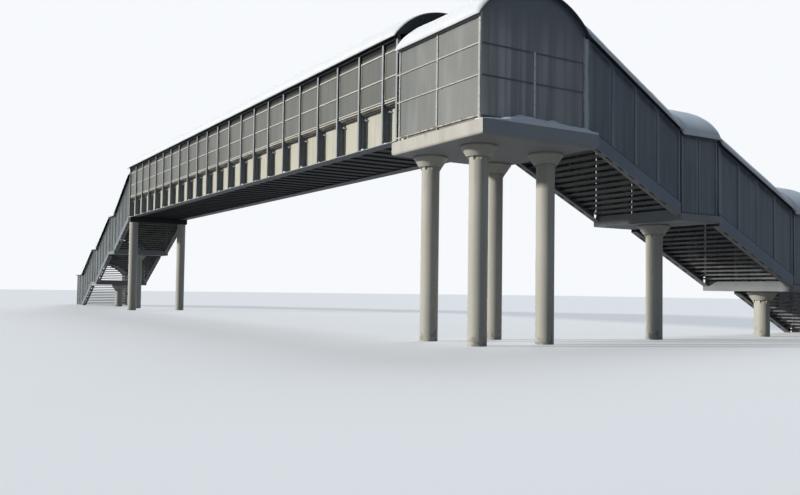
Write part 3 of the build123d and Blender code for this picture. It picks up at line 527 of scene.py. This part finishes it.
# Snow on the roofs, fallen on still days, with a rounded edge all round. Every vault has the
# same arc, which springs from its eaves' tips. The gallery's snow is blown thin at one end.
def closed_layer(top, bottom):
    """Closed shell of two grids of points, joined by walls round their edges.

    The top grid's faces turn anticlockwise seen from outside, the bottom grid's the other
    way, and each edge point of the top is joined to the one below it.
    """
    rows, columns = top.shape[:2]
    index = np.arange(rows * columns).reshape(rows, columns)
    quads = np.stack([index[:-1, :-1], index[1:, :-1], index[1:, 1:], index[:-1, 1:]], -1)
    quads = quads.reshape(-1, 4)
    edge = np.concatenate([index[0, :-1], index[:-1, -1], index[-1, :0:-1], index[:0:-1, 0]])
    after = np.roll(edge, -1)
    below = rows * columns
    walls = np.stack([edge, after, after + below, edge + below], -1)
    points = np.concatenate([top.reshape(-1, 3), bottom.reshape(-1, 3)])
    return points, np.concatenate([quads, quads[:, ::-1] + below, walls])


def waves(u, v, count, longest):
    """Sum of sines in random directions, scaled to stay between -1 and 1."""
    total = np.zeros(np.broadcast(u, v).shape)
    for _ in range(count):
        heading, phase = dice.uniform(0, 2 * math.pi, 2)
        wave = 2 * math.pi / (longest * dice.uniform(0.35, 1.0))
        total += np.sin(wave * (u * math.cos(heading) + v * math.sin(heading)) + phase)
    return total / count


roof_rise, roof_half_span = 0.5, 0.95
roof_radius = (roof_half_span**2 + roof_rise**2) / (2 * roof_rise)
tip_angle = math.asin(roof_half_span / roof_radius)


def vault_snow(name, start, end, start_tip, end_tip, place, thick, edge, spread=0.985, bare=0.0):
    """Snow on a vault. A point is found by its run along the roof and its angle round the arc.

    Across is the radius times the angle's sine, height is the radius times its cosine above
    the arc's centre, and the centre falls in a straight line from one end to the other. The
    snow is thickest at the crown and thins to a rounded edge. Over the length called bare it
    thins to a film towards its end.
    """
    count = max(12, int((end - start) / 0.06))
    run = np.linspace(start, end, count)[:, None]
    angle = np.linspace(-spread * tip_angle, spread * tip_angle, 49)[None, :]
    share = np.abs(angle) / (spread * tip_angle)
    fall = (run - start) / (end - start)
    centre = start_tip + (end_tip - start_tip) * fall + roof_rise - roof_radius
    depth = edge + (thick - edge) * np.cos(angle) ** 2
    depth = depth * (1 + 0.22 * waves(run, angle * roof_radius, 9, 1.6))
    depth = depth + 0.004 * waves(run, angle, 7, 0.25)
    if bare:
        depth = depth * (0.2 + 0.8 * np.clip((end - run) / bare, 0, 1) ** 0.7)
    ends = np.minimum(run - start, end - run) / 0.05
    depth = depth * np.sqrt(np.clip(1 - share**26, 0.02, 1)) * np.sqrt(np.clip(ends, 0.05, 1))
    grids = []
    for radius in (roof_radius + 0.001 + depth, roof_radius + 0.0005 + 0 * depth):
        across, height = radius * np.sin(angle), centre + radius * np.cos(angle)
        grids.append(place(run + 0 * angle, across + 0 * run, height))
    piece(name, *closed_layer(*grids), snow, "roof_sheet", smooth=True)


gallery_tip, corner_tip = 4.43, 4.185
gallery_snow, corner_snow = (-5.11, 11.19), (11.22, 13.26)
vault_snow(
    "snow_gallery", *gallery_snow, gallery_tip, gallery_tip, span_place, thick=0.055, edge=0.035,
    bare=0.5)
vault_snow(
    "snow_corner", *corner_snow, corner_tip, corner_tip, span_place, thick=0.06, edge=0.04,
    spread=1.0)

# Eave flashings: folded dark strips nailed over the outer faces of the eave beams, one along
# each side of the gallery and a narrow one along the landing's front. Their black is painted
# shade under the eaves.
gallery_start, gallery_end, gable_face = -5.0625, 11.1935, 13.2075
flashing_edges, landing_start = (0.8902, 0.8925), 11.2
for side, hand in span_sides:
    # Painted shade: the flashings' black, under the eaves.
    rows = [level_bar(gallery_start, gallery_end, eave_underside + 0.074, 0.078, flashing_edges, hand)]
    if side == "front":
        rows.append(level_bar(landing_start, gable_face, corner_tip + 0.047, 0.018, flashing_edges, hand))
    bars(f"eave_flashing_{side}", rows, span_place, panel_paint, "end_panel")

# Corner slab: concrete with a painted face and a rounded lower edge, stained where meltwater
# runs over its rim and sooty where the wall's foot rail drips on it.
slab_top = 2.84
look = Finish("slab_paint")
cloud, fine = look.grain(1.6, detail=5.0), look.grain(60.0)
runs = look.grain(6.0, (1, 1, 0.1), detail=4.0)
shade = look.blend(cloud.within(0.25, 0.8), (0.56, 0.54, 0.49), (0.63, 0.61, 0.56))
shade = look.blend(runs.within(0.46, 0.7) * 0.4, shade, (0.42, 0.41, 0.38))
rim = look.z.within(slab_top - 0.1, slab_top + 0.01)
drips = look.grain(16.0, (1, 1, 0.1), detail=4.0).within(0.55, 0.7) * rim
shade = look.blend(drips * 0.5, shade, (0.30, 0.28, 0.25))
# Painted shade: faces looking along X, the gable side, are painted a shaded blue-grey.
shade = look.blend(look.facing(0).within(0.6, 0.8) * 0.75, shade, (0.27, 0.31, 0.36))
# Painted shade: the slab's underside is painted a duller grey.
underside_shade = 1 - look.slope(2).within(-0.95, -0.6)
shade = look.blend(underside_shade, shade, (0.33, 0.335, 0.345))
slab_paint = look.coat(shade, fine * 0.2 + 0.6, look.relief(fine + cloud, 0.0012, 0.6))
wear(slab_paint, "corner_slab")

# Landing floor: a trowelled topping laid on the slab behind the walls, level with the deck and
# worn grey by feet.
look = Finish("floor_topping")
worn, fine = look.grain(2.5, detail=5.0), look.grain(70.0)
shade = look.blend(worn.within(0.3, 0.7), (0.20, 0.20, 0.19), (0.30, 0.29, 0.27))
wear(look.coat(shade, fine * 0.2 + 0.6, look.relief(fine, 0.001, 0.5)), "corner_floor")


# Snow drifted along the foot of the landing's gable, on the slab's ledge: a thin line at the
# front corner that swells into a mound towards the stair.
def drift(name, start, end, wall, rim, knots):
    """Mound against a wall. Its height along the wall follows given knots, swollen by waves.

    Across the ledge the height falls from the wall to a rounded rim, with the square root of
    what is left of the width.
    """
    along = np.linspace(start, end, 90)[:, None]
    share = np.linspace(0, 1, 15)[None, :]
    crest = np.interp(along, np.linspace(start, end, len(knots)), knots)
    crest = crest * (1 + 0.25 * waves(along * 3, share, 6, 1.4))
    height = crest * np.sqrt(np.clip(1 - share**5, 0.0, 1)) * (1 - 0.25 * share) + 0.002
    width = (rim - wall) * np.clip(0.7 + crest * 8, 0, 1)
    width = width * (1 + 0.03 * waves(along * 5, 0 * share, 5, 1.0))
    x = wall + width * share
    top = np.stack([x, along + 0 * x, slab_top + height], -1)
    bottom = np.stack([x, along + 0 * x, slab_top + 0.0005 + 0 * x], -1)
    points, faces = closed_layer(top, bottom)
    piece(name, points, faces[:, ::-1], snow, "slab_concrete", smooth=True)


mound_start, mound_end, mound_rim = -5.12, -3.21, 13.418
mound_knots = (0.02, 0.04, 0.05, 0.105, 0.125, 0.13, 0.125, 0.12, 0.11, 0.10, 0.09, 0.075, 0.05)
drift("gable_snow", mound_start, mound_end, gable_face + 0.001, mound_rim, mound_knots)

# Landing wall frames: welded bars, pale on the front and dark blue-grey on the gable, where the
# dark is painted shade. The gable's short middle post is painted pale as painted sunlight from
# behind its sheet, and the jambs at the stair head keep a paler coat.
foot_rail_top = 2.933
look = Finish("landing_paint")
cloud, fine = look.grain(1.7, detail=4.0), look.grain(45.0)
runs = look.grain(14.0, (1, 1, 0.06), detail=4.0)
pale = look.blend(cloud.within(0.25, 0.8), (0.50, 0.50, 0.465), (0.60, 0.595, 0.55))
pale = look.blend(runs.within(0.55, 0.8) * 0.35, pale, (0.33, 0.32, 0.29))
foot_rail = 1 - look.z.within(foot_rail_top - 0.003, foot_rail_top + 0.007)
rust = foot_rail * look.grain(20.0, (1, 1, 0.3)).within(0.5, 0.6)
pale = look.blend(rust * 0.8, pale, (0.16, 0.10, 0.06))
landing_paint = look.coat(pale, fine * 0.15 + 0.45, look.relief(fine, 0.001, 0.5))
wear(landing_paint, "corner_front_frame")

jamb_start, short_post_top = -3.2985, 4.2
look = Finish("gable_paint")
cloud, fine = look.grain(1.7, detail=4.0), look.grain(45.0)
runs = look.grain(14.0, (1, 1, 0.06), detail=4.0)
# Painted shade: the gable frame's dark blue-grey.
gable_shade_grey = look.blend(cloud.within(0.25, 0.8), (0.10, 0.115, 0.14), (0.15, 0.17, 0.20))
# Painted light: the middle post's pale coat, lit from behind its sheet; the jambs' pale coat is paint.
pale_coat_and_sunlight = look.blend(runs.within(0.4, 0.8), (0.80, 0.82, 0.84), (0.62, 0.64, 0.66))
middle_post = 1 - abs(look.y - y_middle).within(0.014, 0.016)
jambs = look.y.within(jamb_start, jamb_start + 0.001) * runs.within(0.4, 0.6) * 0.8
below_hoop = 1 - look.z.within(short_post_top, short_post_top + 0.01)
shade = look.blend((middle_post + jambs) * below_hoop, gable_shade_grey, pale_coat_and_sunlight)
gable_paint = look.coat(shade, fine * 0.15 + 0.45, look.relief(fine, 0.001, 0.5))
wear(gable_paint, "corner_gable_frame", "corner_back_frame", "stair_head_jambs")

# Landing panes: tall sheets on the front and gable, clamped by gaskets, with cap screws along
# the posts. The gable's sheets are streaked by rain, with painted light low down at the front,
# where the sunlit inside shows through, and painted shade towards the top and the stair.
smoke, streak = (0.30, 0.305, 0.295), (0.235, 0.24, 0.235)
look, shade, rough, bump, alpha = sheeting("landing_sheet", smoke, streak, 0.96, patch=0.45)
shade = look.blend((1 - look.x.within(11.3, 12.6)) * 0.45, shade, (0.17, 0.185, 0.18))
bands = look.grain(3.5, (1, 1, 0.12), detail=2.0)
shade = look.blend(bands.within(0.5, 0.65) * 0.45, shade, (0.37, 0.385, 0.375))
on_gable = look.x.within(gable_face - 0.0375, gable_face - 0.0275)
streaks = look.grain(9.0, (1, 1, 0.02), detail=5.0)
# Painted light and shade over rain streaks: paler low at the front, darker at the top and stairside.
gable_streaks_light_and_shade = look.blend(streaks.within(0.4, 0.62), (0.27, 0.285, 0.295), (0.50, 0.515, 0.52))
gable_streaks_light_and_shade = look.blend(look.y.within(-4.6, -3.6) * 0.45, gable_streaks_light_and_shade, (0.22, 0.235, 0.25))
gable_streaks_light_and_shade = look.blend(look.z.within(3.7, 4.5), gable_streaks_light_and_shade, (0.165, 0.19, 0.22))
shade = look.blend(on_gable, shade, gable_streaks_light_and_shade)
wear(look.coat(shade, rough, bump, alpha), "corner_glazing")
landing_bays = ((11.2825, 12.2225), (12.2525, 13.1675))
landing_levels = ((foot_rail_top, 3.43), (3.448, 3.835), (3.853, 4.18))
front_panes = [(a, b, low, high) for a, b in landing_bays for low, high in landing_levels]
rows = pane_gaskets(front_panes, 0.006, (0.879, 0.8825), hand=-1)
bars("front_gaskets", rows, span_place, gasket, "glazing")
screw_levels, screw_size = np.arange(3.0, 4.15, 0.16), {"radius": 0.0055, "height": 0.004}
front_face, front_posts, gable_posts = -5.0475, (11.2675, 12.2375, 13.1875), (y_middle, -3.2825)
screws = [(x, front_face, z) for x in front_posts for z in screw_levels]
bolt_heads("front_screws", screws, (0, -1, 0), gasket, "landing_frame_paint", **screw_size)
screws = [(gable_face, y, z) for y in gable_posts for z in screw_levels[:6]]
bolt_heads("gable_screws", screws, (1, 0, 0), gasket, "landing_frame_paint", **screw_size)


# Stairs: each has three flights of folded treads and two resting slabs, walls of sheet between
# posts, and stepped vaults. Both are built alike, so each piece below is made for both. The
# vaults' eaves run parallel to the nosings, and the upper flight's starts at the landing's eave.
near_middle, near_head = 12.3175, -3.1975


def near_place(run, across, height):
    """The near stair runs towards +Y."""
    return np.stack([near_middle - across, near_head + run, height], -1)


def far_place(run, across, height):
    """The far stair runs on towards -X."""
    return np.stack([gallery_start - run, y_middle - across, height], -1)


stairs = (("near", near_place), ("far", far_place))
labels, treads, risers = ("upper", "middle", "lower"), (14, 14, 13), (16, 16, 14)
deck_level, going, rest, eave_over_nosing, rest_eave_rise = 2.935, 0.132, 0.875, 1.08, 1.15
riser = deck_level / sum(risers)
flight_runs = [going * count for count in treads]
starts = [sum(flight_runs[:i]) + i * rest for i in range(3)]
levels = [deck_level - riser * sum(risers[:i]) for i in range(3)]
head_tips = (corner_tip, levels[1] + eave_over_nosing, levels[2] + eave_over_nosing)
foot_tips = [level - riser * count + eave_over_nosing for level, count in zip(levels, treads)]
tips = list(zip(head_tips, foot_tips))
foot_run = starts[2] + flight_runs[2]

# Stringers: bent plate in smooth blue-grey paint, with a brown-grey slotted flange welded
# along the foot. Treads: folded plate with long slots, in worn grey paint spotted with rust.
look = Finish("stringer_paint")
cloud, fine = look.grain(1.2, detail=4.0), look.grain(45.0)
shade = look.blend(cloud.within(0.25, 0.8), (0.185, 0.225, 0.285), (0.225, 0.265, 0.325))
runs = look.grain(12.0, (1, 1, 0.08), detail=4.0)
shade = look.blend(runs.within(0.6, 0.8) * 0.4, shade, (0.14, 0.155, 0.18))
stringer_paint = look.coat(shade, fine * 0.15 + 0.4, look.relief(fine, 0.0008, 0.4))
look = Finish("tread_paint")
worn, fine = look.grain(2.0, detail=5.0), look.grain(50.0)
shade = look.blend(worn.within(0.3, 0.7), (0.24, 0.24, 0.24), (0.32, 0.315, 0.305))
rust = look.grain(8.0, detail=5.0).within(0.58, 0.7)
shade = look.blend(rust * 0.5, shade, (0.17, 0.11, 0.075))
tread_paint = look.coat(shade, rust * 0.3 + (fine * 0.2 + 0.4), look.relief(fine + rust, 0.001, 0.5))
look = Finish("flange_paint")
worn, fine = look.grain(3.0, detail=5.0), look.grain(50.0)
shade = look.blend(worn.within(0.3, 0.7), (0.30, 0.285, 0.275), (0.38, 0.365, 0.35))
flange_paint = look.coat(shade, fine * 0.2 + 0.5, look.relief(fine, 0.001, 0.5))
for side in ("near", "far"):
    wear(stringer_paint, f"{side}_stringers")
    wear(flange_paint, f"{side}_stringer_flanges")
    for label in labels:
        wear(tread_paint, f"{side}_treads_{label}")

# Resting slabs: cast concrete with rounded lower edges, painted the stringers' blue-grey, with
# a step moulded on each.
look = Finish("rest_paint")
cloud, fine = look.grain(1.6, detail=5.0), look.grain(60.0)
runs = look.grain(6.0, (1, 1, 0.1), detail=4.0)
shade = look.blend(cloud.within(0.25, 0.8), (0.27, 0.285, 0.30), (0.33, 0.345, 0.36))
shade = look.blend(runs.within(0.5, 0.85) * 0.4, shade, (0.20, 0.205, 0.21))
rest_paint = look.coat(shade, fine * 0.2 + 0.6, look.relief(fine + cloud, 0.0012, 0.6))
wear(rest_paint, "near_rest_slabs", "far_rest_slabs")

# Stair walls: posts and panes in nearly the same dull blue-grey, so only faint paler streaks
# show where a post stands. The posts stand a wall bay apart.
wall_bay = 0.4545
look = Finish("stair_paint")
cloud, fine = look.grain(1.7, detail=4.0), look.grain(45.0)
runs = look.grain(14.0, (1, 1, 0.05), detail=4.0)
shade = look.blend(cloud.within(0.25, 0.8), (0.175, 0.21, 0.25), (0.215, 0.25, 0.29))
shade = look.blend(runs.within(0.4, 0.65) * 0.7, shade, (0.34, 0.38, 0.41))
stair_paint = look.coat(shade, fine * 0.15 + 0.45, look.relief(fine, 0.001, 0.5))


def stair_sheeting(name, colour, milky, axis, wave_start):
    """Stair sheet with paler streaks beside the posts. The wave that places them starts a
    quarter of its length before its first crest."""
    look, shade, rough, bump, alpha = sheeting(name, colour, milky, 0.95, patch=0.35)
    streaks = look.grain(7.0, (1, 1, 0.03), detail=5.0).within(0.42, 0.62)
    along = (look.y if axis == "y" else look.x) - wave_start
    beside_posts = along.wave(wall_bay).within(0.3, 1.0)
    shade = look.blend(streaks * beside_posts * 0.8, shade, tuple(1.25 * c for c in milky))
    return look.coat(shade, rough, bump, alpha)


# Painted shade: the far stair's sheet is darker than the near one's, for a shadow across the far stair.
sheets = {
    "near": stair_sheeting(
        "near_stair_sheet", (0.145, 0.185, 0.22), (0.225, 0.275, 0.305), "y", -3.296),
    "far": stair_sheeting(
        "far_stair_sheet", (0.095, 0.11, 0.108), (0.15, 0.165, 0.155), "x", -4.964)}
for side, sheet in sheets.items():
    wear(stair_paint, f"{side}_flight_frames", f"{side}_rest_frames", f"{side}_entrance_frame")
    wear(sheet, f"{side}_glazing")

# Flashings of the stair walls: dark strips folded over the eave beams, and a narrow joint strip
# along the foot of each flight's and each resting landing's wall. The eave strips' black is
# painted shade under the eaves.
gap, entrance_length = 0.04, 1.123
eave_strip, joint_strip, entrance_strip = 0.035, 0.02, 0.055
over_tip, over_nosing, over_slab = 0.046, 0.052, 0.022
wall_faces = ((-0.8795, -0.8782), (0.8782, 0.8795))
for side, place in stairs:
    rows = []
    for i, (start, level) in enumerate(zip(starts, levels)):
        end, fall = start + flight_runs[i], riser * treads[i]
        head, foot = tips[i]
        joint_head = level + over_nosing
        for face in wall_faces:
            rows.append((start, end, head + over_tip, foot + over_tip, eave_strip, *face))
            rows.append((start, end, joint_head, joint_head - fall, joint_strip, *face))
        if i < 2:
            slab, rest_end = levels[i + 1], end + rest
            for face in wall_faces:
                top = slab + rest_eave_rise + over_tip
                rows.append(level_bar(end + gap, rest_end, top, eave_strip, face))
                rows.append(level_bar(end + gap, rest_end, slab + over_slab, joint_strip, face))
    for face in wall_faces:
        start, end = foot_run + gap, foot_run + entrance_length
        rows.append(level_bar(start, end, rest_eave_rise + 0.048, entrance_strip, face))
    bars(f"{side}_flashings", rows, place, roof_sheet, "roof_sheet")

# Handrails inside the stairs: round bars on short brackets from the posts, 0.9 m above the
# nosings at full size.
rail_height, rail_radius, rail_from_middle, bracket_edges = 0.45, 0.011, 0.812, (0.81, 0.848)
path = []
for i, (start, level) in enumerate(zip(starts, levels)):
    path.append((start - (0.02 if i else 0.0), level))
    path.append((start + flight_runs[i], level - riser * treads[i]))
    if i < 2:
        path.append((start + flight_runs[i] + 2 * going, levels[i + 1]))
path += [(foot_run + going, 0.0), (foot_run + 1.1, 0.0)]
path = np.array(path) + (0, rail_height)


def round_bar(run, height, across, radius, place):
    """Points and faces of a round bar along a path, given by its runs and heights.

    A ring point is the path point, plus the radius times the turn's cosine along the path's
    upward normal and the turn's sine across. At a bend the normal is lengthened by one over
    the cosine of half the bend.
    """
    step = np.stack([np.diff(run), np.diff(height)], -1)
    normal = np.stack([-step[:, 1], step[:, 0]], -1) / np.linalg.norm(step, axis=1)[:, None]
    before = np.concatenate([normal[:1], normal])
    after = np.concatenate([normal, normal[-1:]])
    mitre = (before + after) / (1 + np.sum(before * after, 1))[:, None]
    turns = np.arange(8) * math.pi / 4
    runs = run[:, None] + radius * np.cos(turns) * mitre[:, :1]
    heights = height[:, None] + radius * np.cos(turns) * mitre[:, 1:]
    index = np.arange(8 * len(run)).reshape(-1, 8)
    shifted = np.roll(index, -1, 1)
    walls = np.stack([index[:-1], index[1:], shifted[1:], shifted[:-1]], -1).reshape(-1, 4)
    faces = np.concatenate([walls, octagon, octagon[:, ::-1] + index[-1, 0]])
    return place(runs, across + radius * np.sin(turns) + 0 * runs, heights), faces


for side, place in stairs:
    for hand, wall in ((-1, "left"), (1, "right")):
        name, across = f"{side}_handrail_{wall}", hand * rail_from_middle
        points, faces = round_bar(path[:, 0], path[:, 1], across, rail_radius, place)
        piece(name, points, faces, landing_paint, "stair_frame_paint", smooth=True)
    rows = []
    for start, flight_run in zip(starts, flight_runs):
        posts = start + np.linspace(0.015, flight_run - 0.015, 5)
        for post, top in zip(posts, np.interp(posts, path[:, 0], path[:, 1]) - 0.006):
            bracket = (post - 0.004, post + 0.004, top, 0.008, bracket_edges)
            rows += [level_bar(*bracket, hand) for hand in (-1, 1)]
    bars(f"{side}_rail_brackets", rows, place, landing_paint, "stair_frame_paint")

# Snow on the stair roofs: a crust on the sloping vaults, and a deeper layer on the level ones
# over the resting landings and the entrance.
margin, entrance_roof = 0.01, 1.17
for side, place in stairs:
    for i, label in enumerate(labels):
        start, end = starts[i], starts[i] + flight_runs[i]
        name, ends = f"{side}_snow_{label}_flight", (start + margin, end - margin)
        vault_snow(name, *ends, *tips[i], place, thick=0.045, edge=0.03)
        if i < 2:
            name, ends = f"{side}_snow_{label}_rest", (end + margin, end + rest - margin)
            tip = levels[i + 1] + rest_eave_rise
            vault_snow(name, *ends, tip, tip, place, thick=0.085, edge=0.05)
    name, ends = f"{side}_snow_entrance", (foot_run + margin, foot_run + entrance_roof)
    vault_snow(name, *ends, rest_eave_rise, rest_eave_rise, place, thick=0.08, edge=0.045)

# Batten lamps under the ribs: a pale tube across the passage in a slim tray with end caps. The
# gallery has seven, the landing one, and each stair one over every flight.
tray_width, tray_depth, tray_reach = 0.05, 0.02, 0.3
cap_width, tube_width, tube_reach = 0.04, 0.022, 0.288
look = Finish("lamp_plastic")
shade = look.blend(look.grain(4.0), (0.62, 0.63, 0.62), (0.72, 0.73, 0.72))
lamp_plastic = look.coat(shade, look.grain(30.0) * 0.1 + 0.3)
lamp_places = {"span": [(x, 4.875) for x in 10.0 - 3 * bay * np.arange(7)] + [(12.2, 4.63)]}
for side in ("near", "far"):
    lamp_places[side] = []
    for start, flight_run, flight_tips in zip(starts, flight_runs, tips):
        run = start + 0.72 * flight_run
        tip = np.interp(run, (start, start + flight_run), flight_tips)
        lamp_places[side].append((run, tip + 0.44))
for name, place in (("span", span_place), *stairs):
    trays, end_caps, tubes = [], [], []
    for run, top in lamp_places[name]:
        ends = (run - tray_width / 2, run + tray_width / 2)
        trays.append(level_bar(*ends, top, tray_depth, (-tray_reach, tray_reach)))
        ends = (run - cap_width / 2, run + cap_width / 2)
        for edges in ((-tray_reach, -tube_reach), (tube_reach, tray_reach)):
            end_caps.append(level_bar(*ends, top - tray_depth, 0.03, edges))
        ends = (run - tube_width / 2, run + tube_width / 2)
        tubes.append(level_bar(*ends, top - 0.024, tube_width, (-tube_reach, tube_reach)))
    bars(f"{name}_lamp_trays", trays + end_caps, place, stair_paint, "stair_frame_paint")
    bars(f"{name}_lamp_tubes", tubes, place, lamp_plastic, "roof_sheet")


# Plain pale floor that keeps the bridge's shadow. It sends back less light than it shows, so
# that undersides stay deep, and a little white is added to what it shows, so that the shadow
# stays pale.
def seen_rays(tree):
    """1 for rays that show a thing: from the camera, off a mirror or through a pane. Else 0."""
    kinds = tree.nodes.new("ShaderNodeLightPath").outputs
    straight, mirrored, passed = (
        Value(tree, kinds[name]) for name in ("Is Camera Ray", "Is Glossy Ray", "Is Transmission Ray"))
    return straight.larger(mirrored).larger(passed)


background_white, floor_reach = (0.93, 0.95, 0.98, 1), 150
look = Finish("floor")
shown = seen_rays(look.tree)
pale = look.blend(look.grain(0.3), (0.86, 0.87, 0.885), (0.90, 0.91, 0.925))
floor_material = look.coat(look.blend(shown, (0.26, 0.26, 0.26), pale), 0.9)
ending = next(item for item in look.tree.nodes if item.type == "OUTPUT_MATERIAL").inputs["Surface"]
painted = Value(look.tree, ending.links[0].from_socket)
glow = look.node("ShaderNodeEmission", 0, {"Color": background_white})
lightened = look.node("ShaderNodeMixShader", 0, {0: shown * 0.35, 1: painted, 2: glow})
look.tree.links.new(lightened.socket, ending)
corners = [(floor_reach * x, floor_reach * y, 0) for x, y in ((-1, -1), (1, -1), (1, 1), (-1, 1))]
floor = bpy.data.meshes.new("floor")
floor.from_pydata(corners, [], [(0, 1, 2, 3)])
floor.materials.append(floor_material)
floor_object = bpy.data.objects.new("floor", floor)
bpy.context.scene.collection.objects.link(floor_object)
floor_object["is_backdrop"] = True


# Light: a low, warm sun from the front that leaves the gable in shade, and a soft, cool one from
# behind. The surround lights the bridge faintly blue and looks pale to the camera.
def sun(name, energy, spread, colour, travel):
    """A sun lamp whose light travels along a given direction, which is its own -Z."""
    lamp = bpy.data.lights.new(name, "SUN")
    lamp.energy, lamp.angle, lamp.color = energy, math.radians(spread), colour
    travel = np.array(travel) / np.linalg.norm(travel)
    sideways = np.cross(travel, (0, 0, 1.0))
    sideways /= np.linalg.norm(sideways)
    pose = np.eye(4)
    pose[:3, 0], pose[:3, 1], pose[:3, 2] = sideways, np.cross(sideways, travel), -travel
    made = bpy.data.objects.new(name, lamp)
    made.matrix_world = Matrix(pose.tolist())
    bpy.context.scene.collection.objects.link(made)


sun_bearing, sun_lift = math.radians(21.5), math.radians(15.6)
low_travel = (math.sin(sun_bearing), math.cos(sun_bearing), -math.tan(sun_lift))
sun("key", 3.15, 3.5, (1.0, 0.965, 0.90), low_travel)
sun("back", 1.2, 30, (0.84, 0.93, 1.0), (0.42, -0.55, -0.72))

world = bpy.data.worlds.new("surround")
bpy.context.scene.world = world
world.use_nodes = True
tree = world.node_tree
tree.nodes.clear()
fill = tree.nodes.new("ShaderNodeBackground")
fill.inputs[0].default_value, fill.inputs[1].default_value = (0.56, 0.76, 1.0, 1), 0.17
white = tree.nodes.new("ShaderNodeBackground")
white.inputs[0].default_value = background_white
chosen = tree.nodes.new("ShaderNodeMixShader")
surround = tree.nodes.new("ShaderNodeOutputWorld")
tree.links.new(seen_rays(tree).socket, chosen.inputs[0])
tree.links.new(fill.outputs[0], chosen.inputs[1])
tree.links.new(white.outputs[0], chosen.inputs[2])
tree.links.new(chosen.outputs[0], surround.inputs["Surface"])

shown_low, shown_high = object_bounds()
sizes = {"cad": [list(cad_low), list(cad_high)], "visual": [list(shown_low), list(shown_high)]}
